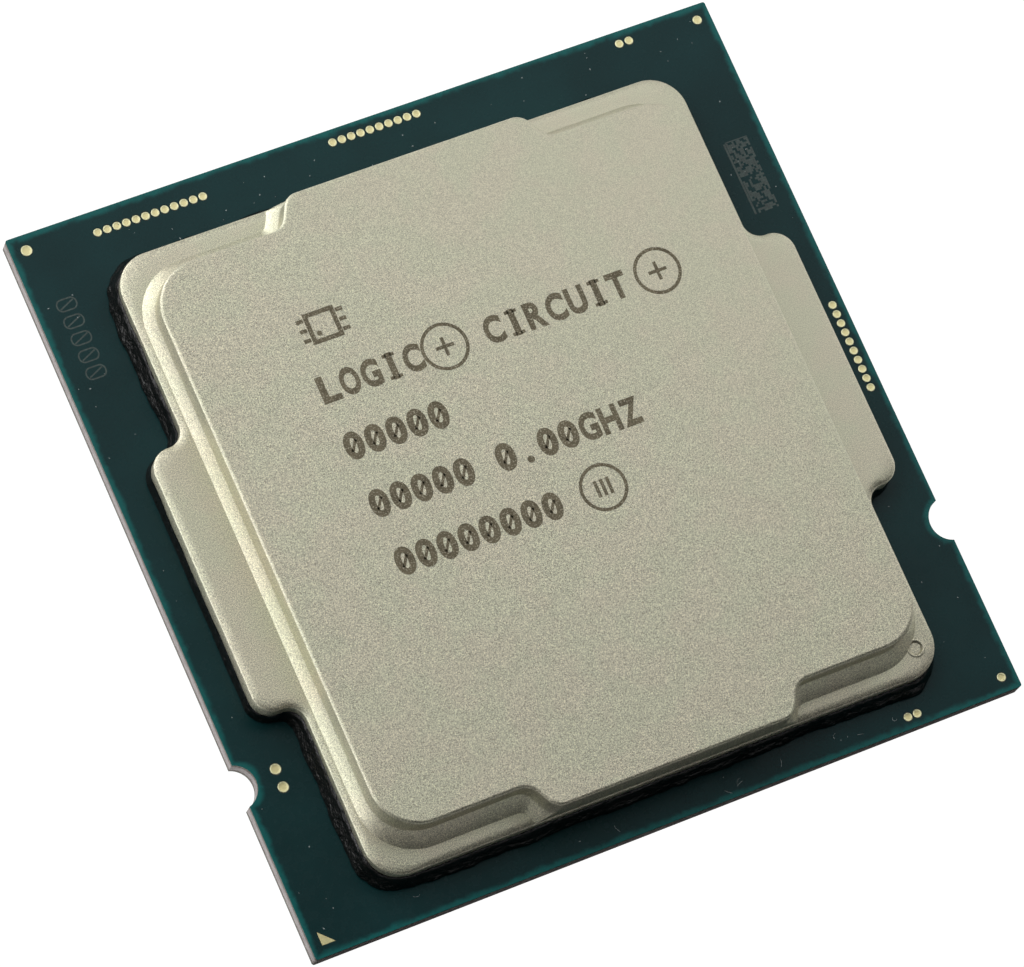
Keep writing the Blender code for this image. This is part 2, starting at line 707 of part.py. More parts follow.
def main():
    clear_scene()
    new_collection(OBJECT_COLLECTION)
    new_collection(CUTTER_COLLECTION)
    build_core()
    build_copper_planes()
    build_build_up_layers()
    build_top_mask()
    build_pads()
    build_underside()
    build_capacitors()
    build_sealant()
    build_bumps()
    build_die_stack()
    build_heat_spreader()
    shade_parts()


main()
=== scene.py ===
"""Studio scene of a land grid array computer processor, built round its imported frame.

The frame gives every place and height. The classes below make the fine surface of the lid, the
sealant, the solder masks, the pads, the lands and the marks, and dress the laminate's own layers.
Everything is in metres with +Z up, and each finished object sits at the origin.
"""

import logging
import math
import random
from collections.abc import Iterable, Sequence
from dataclasses import dataclass, field
from enum import Enum
from typing import Any

import bmesh
import bpy
from mathutils import Matrix, Vector, noise


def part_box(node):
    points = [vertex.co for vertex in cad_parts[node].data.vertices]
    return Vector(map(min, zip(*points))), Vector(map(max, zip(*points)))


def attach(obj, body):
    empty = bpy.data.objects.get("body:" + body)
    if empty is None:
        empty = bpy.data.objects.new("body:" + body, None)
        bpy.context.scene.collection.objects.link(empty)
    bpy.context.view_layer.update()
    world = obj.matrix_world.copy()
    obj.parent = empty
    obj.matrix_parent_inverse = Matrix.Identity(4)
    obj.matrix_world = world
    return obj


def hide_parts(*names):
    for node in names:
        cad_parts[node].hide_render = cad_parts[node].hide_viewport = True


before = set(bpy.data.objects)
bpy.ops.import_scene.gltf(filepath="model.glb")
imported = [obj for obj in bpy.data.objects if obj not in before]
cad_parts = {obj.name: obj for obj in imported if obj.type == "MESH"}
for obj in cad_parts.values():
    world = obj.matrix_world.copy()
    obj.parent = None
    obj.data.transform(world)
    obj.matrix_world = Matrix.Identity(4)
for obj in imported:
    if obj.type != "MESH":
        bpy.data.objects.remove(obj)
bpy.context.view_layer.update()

MM = 0.001
BODY = "root"
LOG = logging.getLogger("processor")

Outline = list[tuple[float, float]]
Colour = tuple[float, float, float]
Level = tuple[Outline, float]


# --------------------------------------------------------------------------------------------
# Outlines
# --------------------------------------------------------------------------------------------


def rounded_outline(corners: Sequence[tuple[float, float, float]], steps: int) -> Outline:
    """Draw a closed anticlockwise outline whose corners are turned as arcs.

    Args:
        corners: An (x, y, radius) for each corner.
        steps: Straight runs in each arc.

    Returns:
        The outline's points.
    """
    points = []
    for index, (x, y, radius) in enumerate(corners):
        here = Vector((x, y))
        back = (Vector(corners[index - 1][:2]) - here).normalized()
        ahead = (Vector(corners[(index + 1) % len(corners)][:2]) - here).normalized()
        half_angle = back.angle(ahead) / 2
        centre = here + (back + ahead).normalized() * radius / math.sin(half_angle)
        first = here + back * radius / math.tan(half_angle) - centre
        last = here + ahead * radius / math.tan(half_angle) - centre
        sweep = math.atan2(first.cross(last), first.dot(last))
        start = math.atan2(first.y, first.x)
        for step in range(steps + 1):
            angle = start + sweep * step / steps
            points.append((centre.x + radius * math.cos(angle), centre.y + radius * math.sin(angle)))
    return points


def rectangle_outline(half_x: float, half_y: float, radius: float, steps: int, middle_y: float = 0.0) -> Outline:
    """Draw a rectangle with round corners, centred on X.

    Args:
        half_x: Half its size on X.
        half_y: Half its size on Y.
        radius: Corner radius.
        steps: Straight runs in each corner.
        middle_y: Its middle on Y.

    Returns:
        The outline's points.
    """
    low, high = middle_y - half_y, middle_y + half_y
    corners = [(half_x, low), (half_x, high), (-half_x, high), (-half_x, low)]
    return rounded_outline([(x, y, radius) for x, y in corners], steps)


def circle_outline(x: float, y: float, radius: float, sides: int) -> Outline:
    """Draw a circle as a polygon.

    Args:
        x: Centre on X.
        y: Centre on Y.
        radius: Radius of the polygon's corners.
        sides: Number of sides.

    Returns:
        The outline's points.
    """
    turns = [2 * math.pi * side / sides for side in range(sides)]
    return [(x + radius * math.cos(turn), y + radius * math.sin(turn)) for turn in turns]


def evenly_spaced(outline: Outline, spacing: float) -> list[tuple[Vector, Vector]]:
    """Walk round an outline at an even pace.

    Args:
        outline: A closed anticlockwise outline.
        spacing: Longest distance between two neighbouring points.

    Returns:
        A (point, outward direction) for each step of the walk.
    """
    ring = [Vector(point) for point in outline]
    walk = []
    for here, there in zip(ring, ring[1:] + ring[:1]):
        run = there - here
        count = max(1, math.ceil(run.length / spacing))
        walk += [here + run * step / count for step in range(count)]
    directions = []
    for index, point in enumerate(walk):
        along = walk[(index + 1) % len(walk)] - walk[index - 1]
        directions.append((point, Vector((along.y, -along.x)).normalized()))
    return directions


# --------------------------------------------------------------------------------------------
# Meshes
# --------------------------------------------------------------------------------------------


def between(start: float, end: float, share: float) -> float:
    """Return a value part of the way from one to another.

    Args:
        start: The value at a share of 0.
        end: The value at a share of 1.
        share: How far along.

    Returns:
        The value there.
    """
    return start + (end - start) * share


def skinned(rings: Sequence[Sequence[Any]], closed: bool = False) -> bmesh.types.BMesh:
    """Skin rings of points that all have the same number of points.

    Args:
        rings: The points of each ring.
        closed: Join the last ring to the first, and leave out the caps.

    Returns:
        A new closed form.
    """
    form = bmesh.new()
    made = [[form.verts.new(point) for point in ring] for ring in rings]
    pairs = list(zip(made, made[1:]))
    if closed:
        pairs.append((made[-1], made[0]))
    for lower, upper in pairs:
        for index, vert in enumerate(lower):
            after = (index + 1) % len(lower)
            form.faces.new((vert, lower[after], upper[after], upper[index]))
    if not closed:
        form.faces.new(reversed(made[0]))
        form.faces.new(made[-1])
    return form


def loft(levels: Sequence[Level], closed: bool = False) -> bmesh.types.BMesh:
    """Skin a stack of outlines that all have the same number of points.

    Args:
        levels: An (outline, height) for each level, from the underside up.
        closed: Join the last level to the first, as on a ring, and leave out the caps.

    Returns:
        A new closed form.
    """
    return skinned([[(x, y, z) for x, y in outline] for outline, z in levels], closed)


def turned(profile: Sequence[tuple[float, float]], sides: int, x: float = 0.0, y: float = 0.0) -> bmesh.types.BMesh:
    """Turn a profile round an upright axis.

    Args:
        profile: A (radius, height) for each ring, from the underside up.
        sides: Sides of the turned form.
        x: Axis on X.
        y: Axis on Y.

    Returns:
        A new closed form.
    """
    return loft([(circle_outline(x, y, radius, sides), z) for radius, z in profile])


def flat_solid(outlines: Sequence[Outline], low: float, high: float) -> bmesh.types.BMesh:
    """Fill outlines as a flat plate; an outline inside another is a hole.

    The curve is drawn a thousand times larger, because the fill is made for everyday sizes.

    Args:
        outlines: The plate's outer outline and its holes.
        low: Height of the underside.
        high: Height of the upper side.

    Returns:
        A new closed form.
    """
    curve = bpy.data.curves.new("flat", "CURVE")
    curve.dimensions = "2D"
    curve.fill_mode = "BOTH"
    curve.extrude = 0.5
    for outline in outlines:
        spline = curve.splines.new("POLY")
        spline.points.add(len(outline) - 1)
        for point, (x, y) in zip(spline.points, outline):
            point.co = (x / MM, y / MM, 0.0, 1.0)
        spline.use_cyclic_u = True
    form = solid_from_curve(curve)
    place = Matrix.Translation((0.0, 0.0, (low + high) / 2)) @ Matrix.Diagonal((MM, MM, high - low, 1.0))
    form.transform(place)
    return form


def solid_from_curve(curve: bpy.types.Curve) -> bmesh.types.BMesh:
    """Make a filled curve a closed form, and remove the curve.

    Args:
        curve: A flat or text curve with an extrude.

    Returns:
        A new closed form with its doubles merged.
    """
    drawn = bpy.data.objects.new("drawn", curve)
    bpy.context.scene.collection.objects.link(drawn)
    graph = bpy.context.evaluated_depsgraph_get()
    mesh = bpy.data.meshes.new_from_object(drawn.evaluated_get(graph))
    bpy.data.objects.remove(drawn, do_unlink=True)
    bpy.data.curves.remove(curve)
    form = bmesh.new()
    form.from_mesh(mesh)
    bpy.data.meshes.remove(mesh)
    bmesh.ops.remove_doubles(form, verts=form.verts, dist=0.0002)
    bmesh.ops.recalc_face_normals(form, faces=form.faces)
    return form


def joined(forms: Iterable[bmesh.types.BMesh]) -> bmesh.types.BMesh:
    """Gather separate forms in one.

    Args:
        forms: The forms, which are freed.

    Returns:
        A new form that holds them all.
    """
    gathered = bmesh.new()
    for form in forms:
        mesh = bpy.data.meshes.new("part")
        form.to_mesh(mesh)
        form.free()
        gathered.from_mesh(mesh)
        bpy.data.meshes.remove(mesh)
    return gathered


def mesh_of(form: bmesh.types.BMesh, name: str = "part") -> bpy.types.Mesh:
    """Write a form to a new mesh and free it."""
    mesh = bpy.data.meshes.new(name)
    form.to_mesh(mesh)
    form.free()
    return mesh


def painted(form: bmesh.types.BMesh, *finishes: "Finish") -> bpy.types.Mesh:
    """Write a form to a new mesh with its finishes, in the order of its faces' numbers."""
    mesh = mesh_of(form)
    mesh.materials.clear()
    for finish in finishes:
        mesh.materials.append(finish.material())
    return mesh


def carved(form: bmesh.types.BMesh, operation: str, *others: bmesh.types.BMesh) -> bmesh.types.BMesh:
    """Cut, join or intersect a form with others.

    Args:
        form: The form that is worked on, which is freed.
        operation: UNION, DIFFERENCE or INTERSECT.
        others: The forms that it is worked with, which are freed.

    Returns:
        A new form.
    """
    work = bpy.data.objects.new("work", mesh_of(form))
    tools = [bpy.data.objects.new("tool", mesh_of(other)) for other in others]
    for item in (work, *tools):
        bpy.context.scene.collection.objects.link(item)
    for tool in tools:
        modifier = work.modifiers.new("carve", "BOOLEAN")
        modifier.operation = operation
        modifier.solver = "EXACT"
        modifier.object = tool
    graph = bpy.context.evaluated_depsgraph_get()
    mesh = bpy.data.meshes.new_from_object(work.evaluated_get(graph))
    for item in (work, *tools):
        bpy.data.objects.remove(item, do_unlink=True)
    result = bmesh.new()
    result.from_mesh(mesh)
    bpy.data.meshes.remove(mesh)
    return result


def shade(form: bmesh.types.BMesh, sharp_degrees: float = 35.0) -> None:
    """Shade a form smooth, but keep creases and the borders of level faces sharp.

    Args:
        form: The form.
        sharp_degrees: The smallest angle that counts as a crease.
    """
    form.normal_update()
    level = {face: abs(face.normal.z) > 0.99999 for face in form.faces}
    for face in form.faces:
        face.smooth = True
    for edge in form.edges:
        if len(edge.link_faces) != 2:
            continue
        one, other = edge.link_faces
        crease = edge.calc_face_angle(0.0) > math.radians(sharp_degrees)
        edge.smooth = not crease and level[one] == level[other]


def add_piece(name: str, mesh: bpy.types.Mesh, slot: str, *replaced: str) -> bpy.types.Object:
    """Put a finished mesh in the scene and tie it to the frame.

    Args:
        name: The piece's name.
        mesh: Its mesh, in place, with its materials.
        slot: Not used.
        replaced: The frame's nodes that it stands for.

    Returns:
        The new object.
    """
    mesh.name = name
    piece = bpy.data.objects.new(name, mesh)
    bpy.context.scene.collection.objects.link(piece)
    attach(piece, BODY)
    if replaced:
        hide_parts(*replaced)
    LOG.info("%s: %d faces", name, len(mesh.polygons))
    return piece


def dress(node: str, finish: "Finish") -> None:
    """Give a carried-over node of the frame its finish."""
    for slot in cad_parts[node].material_slots:
        slot.material = finish.material()
    LOG.info("%s: dressed in %s", node, finish.name)


# --------------------------------------------------------------------------------------------
# Node trees
# --------------------------------------------------------------------------------------------


class NodeBench:
    """Places nodes in a shader or geometry tree and joins their sockets."""

    def __init__(self, tree: bpy.types.NodeTree) -> None:
        """Keep the tree that the nodes go in."""
        self.tree = tree

    @staticmethod
    def socket(sockets: Any, key: str | int) -> bpy.types.NodeSocket:
        """Find a socket in use by its name, or any socket by its place."""
        if isinstance(key, int):
            return sockets[key]
        return next(item for item in sockets if item.name == key and item.enabled)

    def add(self, kind: str, inputs: dict | None = None, **settings: Any) -> bpy.types.Node:
        """Place a node.

        Args:
            kind: The node's type.
            inputs: A value or a socket for each input, by name or by place.
            settings: The node's own properties.

        Returns:
            The new node.
        """
        node = self.tree.nodes.new(kind)
        for name, value in settings.items():
            setattr(node, name, value)
        for key, value in (inputs or {}).items():
            self.feed(self.socket(node.inputs, key), value)
        return node

    def feed(self, target: bpy.types.NodeSocket, value: Any) -> None:
        """Link a socket to another, or set its value."""
        if isinstance(value, bpy.types.NodeSocket):
            self.tree.links.new(value, target)
        else:
            target.default_value = value

    def calc(self, operation: str, *values: Any) -> bpy.types.NodeSocket:
        """Work out a number from one, two or three others."""
        return self.add("ShaderNodeMath", dict(enumerate(values)), operation=operation).outputs[0]

    def spread(self, value: Any, low: float, high: float, to_low: float = 0.0, to_high: float = 1.0) -> Any:
        """Map a number smoothly from one range to another, and hold it at the ends.

        Args:
            value: The number.
            low: Start of its range.
            high: End of its range.
            to_low: Result at the start.
            to_high: Result at the end.

        Returns:
            The result's socket.
        """
        inputs = {"Value": value, "From Min": low, "From Max": high, "To Min": to_low, "To Max": to_high}
        node = self.add("ShaderNodeMapRange", inputs, interpolation_type="SMOOTHSTEP")
        return node.outputs["Result"]


class PaintBench(NodeBench):
    """Builds one material's shader."""

    def __init__(self, name: str) -> None:
        """Start a material with a Principled shader."""
        self.material = bpy.data.materials.new(name)
        self.material.use_nodes = True
        super().__init__(self.material.node_tree)
        self.shader = self.tree.nodes["Principled BSDF"]
        self.place = self.add("ShaderNodeTexCoord").outputs["Object"]

    def noise(self, grain: float, detail: float = 2.0, stretch: Colour = (1.0, 1.0, 1.0)) -> Any:
        """Noise on the object's own coordinates.

        Args:
            grain: Size of one grain in metres.
            detail: Finer layers of noise.
            stretch: How much longer the grains are on each axis.

        Returns:
            The noise's socket, from 0 to 1 round one half.
        """
        place = self.place
        if stretch != (1.0, 1.0, 1.0):
            scale = tuple(1.0 / value for value in stretch)
            place = self.add("ShaderNodeMapping", {"Vector": place, "Scale": scale}).outputs[0]
        inputs = {"Vector": place, "Scale": 1.0 / grain, "Detail": detail, "Roughness": 0.6}
        return self.add("ShaderNodeTexNoise", inputs).outputs[0]

    def grains(self, grain: float, contrast: float = 0.15, **options: Any) -> Any:
        """Noise pulled out to the full range from 0 to 1."""
        return self.spread(self.noise(grain, **options), 0.5 - contrast, 0.5 + contrast)

    def mix(self, share: Any, first: Any, second: Any, blend: str = "MIX") -> Any:
        """Mix two colours.

        Args:
            share: Share of the second colour.
            first: Colour or socket.
            second: Colour or socket.
            blend: How they are mixed.

        Returns:
            The mixed colour's socket.
        """
        pair = [(*item, 1.0) if isinstance(item, tuple) else item for item in (first, second)]
        inputs = {0: share, 6: pair[0], 7: pair[1]}
        return self.add("ShaderNodeMix", inputs, data_type="RGBA", blend_type=blend).outputs[2]

    def axes(self) -> tuple[Any, Any, Any]:
        """The object's coordinates as three numbers."""
        return tuple(self.add("ShaderNodeSeparateXYZ", {0: self.place}).outputs)

    def relief(self, height: Any, depth: float) -> None:
        """Raise the surface by a height from 0 to 1, to a depth in metres."""
        inputs = {"Height": height, "Distance": depth, "Strength": 1.0}
        self.feed(self.shader.inputs["Normal"], self.add("ShaderNodeBump", inputs).outputs[0])

    def set(self, **values: Any) -> None:
        """Set the shader's sockets; an underscore in a name stands for a space."""
        for name, value in values.items():
            value = (*value, 1.0) if isinstance(value, tuple) else value
            self.feed(self.shader.inputs[name.replace("_", " ")], value)


def lighter(colour: Colour, share: float) -> Colour:
    """A colour made lighter by a share, or darker by a negative one."""
    return tuple(value * (1.0 + share) for value in colour)


@dataclass(frozen=True)
class Finish:
    """A surface finish, made once and then shared."""

    name: str

    def paint(self, bench: PaintBench) -> None:
        """Build the shader on a bench."""
        raise NotImplementedError

    def material(self) -> bpy.types.Material:
        """The finish's material, which is made when it is first asked for."""
        made = bpy.data.materials.get(f"finish_{self.name}")
        if made:
            return made
        bench = PaintBench(f"finish_{self.name}")
        self.paint(bench)
        return bench.material


@dataclass(frozen=True)
class Nickel(Finish):
    """Plated nickel, bead blasted or stamped: fine light and dark grains with faint tinted clouds."""

    colour: Colour
    roughness: float
    grain: float = 0.05 * MM
    speckle: float = 1.0
    depth: float = 0.004 * MM
    cloud: float = 2.6 * MM
    cloud_share: float = 0.5
    # The fine grains' share of the grain; the coarse grains have the rest.
    fine_share: float = 0.72
    # The grain is calmer towards the rear right: where that starts and ends, by x plus y, and the share left there.
    calm_fade: tuple[float, float] = (-6 * MM, 26 * MM)
    calm_share: float = 0.35
    # Painted shade: the share by which the colour is darker at the front and rear, and where that fades out, by how
    # much farther x is than y.
    end_painted_shade: float = 0.0
    painted_shade_fade: tuple[float, float] = (-2.5 * MM, 2 * MM)

    def paint(self, bench: PaintBench) -> None:
        """Build the shader on a bench; where that is asked for, the front and rear are painted darker by a share, as
        painted shade.
        """
        red, green, blue = self.colour
        greenish = (red * 0.97, green * 1.01, blue * 0.99)
        pinkish = (red * 1.03, green * 0.99, blue * 1.01)
        clouds = bench.calc("MULTIPLY", bench.grains(self.cloud, 0.12, detail=3.0), self.cloud_share)
        base = bench.mix(clouds, greenish, pinkish)
        fine = bench.grains(self.grain, 0.2)
        coarse = bench.grains(self.grain * 2.0, 0.2)
        weighed = bench.calc("MULTIPLY", coarse, round(1.0 - self.fine_share, 2))
        both = bench.calc("ADD", bench.calc("MULTIPLY", fine, self.fine_share), weighed)
        x, y, _ = bench.axes()
        along = bench.calc("ADD", x, y)
        smooth_side = bench.spread(along, *self.calm_fade, self.speckle, self.calm_share * self.speckle)
        tone = bench.calc("MULTIPLY_ADD", bench.calc("SUBTRACT", both, 0.5), smooth_side, 1.0)
        # Painted shade: darken the colour where y reaches farther than x, at the front and rear.
        if self.end_painted_shade:
            beside = bench.calc("SUBTRACT", bench.calc("ABSOLUTE", x), bench.calc("ABSOLUTE", y))
            tone = bench.calc("MULTIPLY", tone, bench.spread(beside, *self.painted_shade_fade, 1.0 - self.end_painted_shade, 1.0))
        grey = bench.add("ShaderNodeCombineXYZ", {0: tone, 1: tone, 2: tone}).outputs[0]
        bench.set(Base_Color=bench.mix(1.0, base, grey, "MULTIPLY"), Metallic=1.0)
        rough = bench.spread(coarse, 0.0, 1.0, self.roughness - 0.05, self.roughness + 0.05)
        bench.set(Roughness=rough)
        bench.relief(both, self.depth)


@dataclass(frozen=True)
class MaskLacquer(Finish):
    """Dark solder mask over copper, brighter in a rim where the copper stops short of the edge."""

    half_side: float
    notch_x: float
    notch_y: float
    notch_radius: float
    colour: Colour = (0.0040, 0.0320, 0.0340)
    rim_colour: Colour = (0.0065, 0.118, 0.113)
    rim: float = 0.36 * MM
    roughness: float = 0.22

    def paint(self, bench: PaintBench) -> None:
        """Build the shader on a bench."""
        x, y, _ = bench.axes()
        wide = bench.calc("ABSOLUTE", x)
        to_side = bench.calc("SUBTRACT", self.half_side, wide)
        to_end = bench.calc("SUBTRACT", self.half_side, bench.calc("ABSOLUTE", y))
        across = bench.calc("SUBTRACT", wide, self.notch_x)
        along = bench.calc("SUBTRACT", y, self.notch_y)
        reach = bench.calc("SQRT", bench.calc("ADD", bench.calc("POWER", across, 2.0), bench.calc("POWER", along, 2.0)))
        to_notch = bench.calc("SUBTRACT", reach, self.notch_radius)
        edge = bench.calc("MINIMUM", bench.calc("MINIMUM", to_side, to_end), to_notch)
        wander = bench.spread(bench.noise(0.9 * MM), 0.3, 0.7, -0.08 * MM, 0.08 * MM)
        rim = bench.spread(bench.calc("ADD", edge, wander), self.rim, 0.06 * MM)
        clouds = bench.grains(5.0 * MM, 0.2)
        base = bench.mix(clouds, lighter(self.colour, -0.12), lighter(self.colour, 0.12))
        bench.set(Base_Color=bench.mix(rim, base, self.rim_colour), IOR=1.28)
        bench.set(Roughness=bench.spread(bench.noise(0.5 * MM), 0.3, 0.7, self.roughness, self.roughness + 0.08))
        bench.relief(bench.noise(1.6 * MM, 3.0), 0.0015 * MM)


@dataclass(frozen=True)
class GlassLaminate(Finish):
    """The cut edge of a glass cloth laminate: pale fibres in resin, in lines along the board."""

    colour: Colour
    resin: Colour
    fibre: float = 0.045 * MM

    def paint(self, bench: PaintBench) -> None:
        """Build the shader on a bench."""
        lines = bench.grains(self.fibre, 0.2, stretch=(9.0, 9.0, 1.0), detail=3.0)
        bundles = bench.grains(0.5 * MM, 0.2)
        share = bench.calc("ADD", bench.calc("MULTIPLY", lines, 0.6), bench.calc("MULTIPLY", bundles, 0.4))
        bench.set(Base_Color=bench.mix(share, self.resin, self.colour))
        bench.set(Roughness=bench.spread(lines, 0.0, 1.0, 0.75, 0.55))
        bench.relief(lines, 0.006 * MM)


@dataclass(frozen=True)
class GoldPlate(Finish):
    """Thin gold over nickel, paler towards its raised rim as a painted highlight, and a little orange in the middle."""

    # The pale colour at the raised rim is a painted highlight.
    pale: Colour = (0.82, 0.82, 0.52)
    warm: Colour = (0.76, 0.69, 0.37)
    roughness: float = 0.34

    def paint(self, bench: PaintBench) -> None:
        """Build the shader on a bench."""
        rim = bench.add("ShaderNodeAttribute", attribute_name="rim").outputs["Fac"]
        grain = bench.grains(0.05 * MM, 0.2)
        wander = bench.calc("ADD", rim, bench.spread(grain, 0.0, 1.0, -0.18, 0.18))
        # The mix towards the pale colour at the rim is a painted highlight.
        bench.set(Base_Color=bench.mix(bench.spread(wander, 0.25, 0.85), self.warm, self.pale), Metallic=1.0)
        bench.set(Roughness=bench.spread(grain, 0.0, 1.0, self.roughness - 0.06, self.roughness + 0.08))
        bench.relief(grain, 0.003 * MM)


@dataclass(frozen=True)
class Rubber(Finish):
    """Black silicone sealant, glossy where it was squeezed and dull in its pits."""

    colour: Colour = (0.0025, 0.0025, 0.0022)

    def paint(self, bench: PaintBench) -> None:
        """Build the shader on a bench."""
        lumps = bench.grains(0.38 * MM, 0.25, detail=3.0)
        bench.set(Base_Color=bench.mix(lumps, self.colour, lighter(self.colour, 0.8)), IOR=1.40)
        bench.set(Roughness=bench.spread(lumps, 0.0, 1.0, 0.08, 0.22))
        bench.relief(lumps, 0.045 * MM)


@dataclass(frozen=True)
class Etching(Finish):
    """Laser-darkened nickel, porous, so that blasted metal shows through in grains."""

    colour: Colour = (0.185, 0.160, 0.108)
    bare: Colour = (0.42, 0.39, 0.29)

    def paint(self, bench: PaintBench) -> None:
        """Build the shader on a bench."""
        pores = bench.spread(bench.noise(0.085 * MM, 3.0), 0.50, 0.68)
        patches = bench.grains(0.6 * MM, 0.25)
        dark = bench.mix(patches, lighter(self.colour, -0.18), lighter(self.colour, 0.15))
        bench.set(Base_Color=bench.mix(pores, dark, self.bare), Metallic=0.85)
        bench.set(Roughness=bench.spread(pores, 0.0, 1.0, 0.68, 0.5))
        bench.relief(pores, 0.004 * MM)


@dataclass(frozen=True)
class Ink(Finish):
    """Marks fired into the solder mask, slightly uneven."""

    colour: Colour = (0.050, 0.075, 0.068)
    grain: float = 0.12 * MM

    def paint(self, bench: PaintBench) -> None:
        """Build the shader on a bench."""
        patches = bench.grains(self.grain, 0.25)
        bench.set(Base_Color=bench.mix(patches, lighter(self.colour, -0.4), lighter(self.colour, 0.35)))
        bench.set(Roughness=bench.spread(patches, 0.0, 1.0, 0.4, 0.6))


@dataclass(frozen=True)
class Grained(Finish):
    """A plain material with its own grain in colour, gloss and height."""

    colour: Colour
    roughness: float
    metallic: float = 0.0
    grain: float = 0.1 * MM
    contrast: float = 0.15
    depth: float = 0.003 * MM

    def paint(self, bench: PaintBench) -> None:
        """Build the shader on a bench."""
        grains = bench.grains(self.grain, 0.2, detail=3.0)
        dark = lighter(self.colour, -self.contrast)
        bench.set(Base_Color=bench.mix(grains, dark, lighter(self.colour, self.contrast)), Metallic=self.metallic)
        bench.set(Roughness=bench.spread(grains, 0.0, 1.0, self.roughness, min(1.0, self.roughness + 0.12)))
        bench.relief(grains, self.depth)


class Metalwork:
    """The lid's nickel in its four states."""

    TOP = Nickel("nickel_blasted", (0.600, 0.570, 0.448), 0.46, grain=0.037 * MM, speckle=1.3)
    FLANGE = Nickel("nickel_satin", (0.575, 0.550, 0.452), 0.23, grain=0.037 * MM, speckle=0.7, depth=0.0015 * MM)
    # The walls' colour is paler than the top's nickel, as painted light on the side walls; where the walls face front
    # and rear it is painted darker, as painted shade.
    WALL = Nickel("nickel_wall_painted_light", (0.940, 0.940, 0.950), 0.18, speckle=0.15, depth=0.0006 * MM, end_painted_shade=0.76)
    ROLL = Nickel("nickel_rolled", (0.740, 0.735, 0.690), 0.15, speckle=0.25, depth=0.0006 * MM)
    ALL = (TOP, FLANGE, WALL, ROLL)


GOLD = GoldPlate("gold_plate")
SEALANT = Rubber("sealant_rubber")
ETCHING = Etching("laser_etching")
INK = Ink("fired_mark")
CORE = GlassLaminate("core_edge", (0.38, 0.350, 0.340), (0.22, 0.195, 0.190))
BUILD_UP = GlassLaminate("build_up_edge", (0.20, 0.175, 0.145), (0.11, 0.09, 0.075), fibre=0.03 * MM)
COPPER = Grained("copper_foil", (0.72, 0.35, 0.20), 0.35, 1.0, contrast=0.2)
SILICON = Grained("silicon", (0.16, 0.16, 0.18), 0.12, 0.6, contrast=0.05, depth=0.0)
SOLDER = Grained("solder", (0.55, 0.55, 0.56), 0.35, 1.0, contrast=0.12)
UNDERFILL = Grained("underfill_resin", (0.05, 0.05, 0.06), 0.4, contrast=0.2)
CERAMIC = Grained("capacitor_ceramic", (0.36, 0.25, 0.16), 0.55, grain=0.06 * MM)
TIN = Grained("terminal_tin", (0.62, 0.62, 0.60), 0.32, 1.0, grain=0.05 * MM)
LINT = Grained("lint", (0.42, 0.47, 0.47), 0.8, contrast=0.3)


# --------------------------------------------------------------------------------------------
# Geometry trees
# --------------------------------------------------------------------------------------------


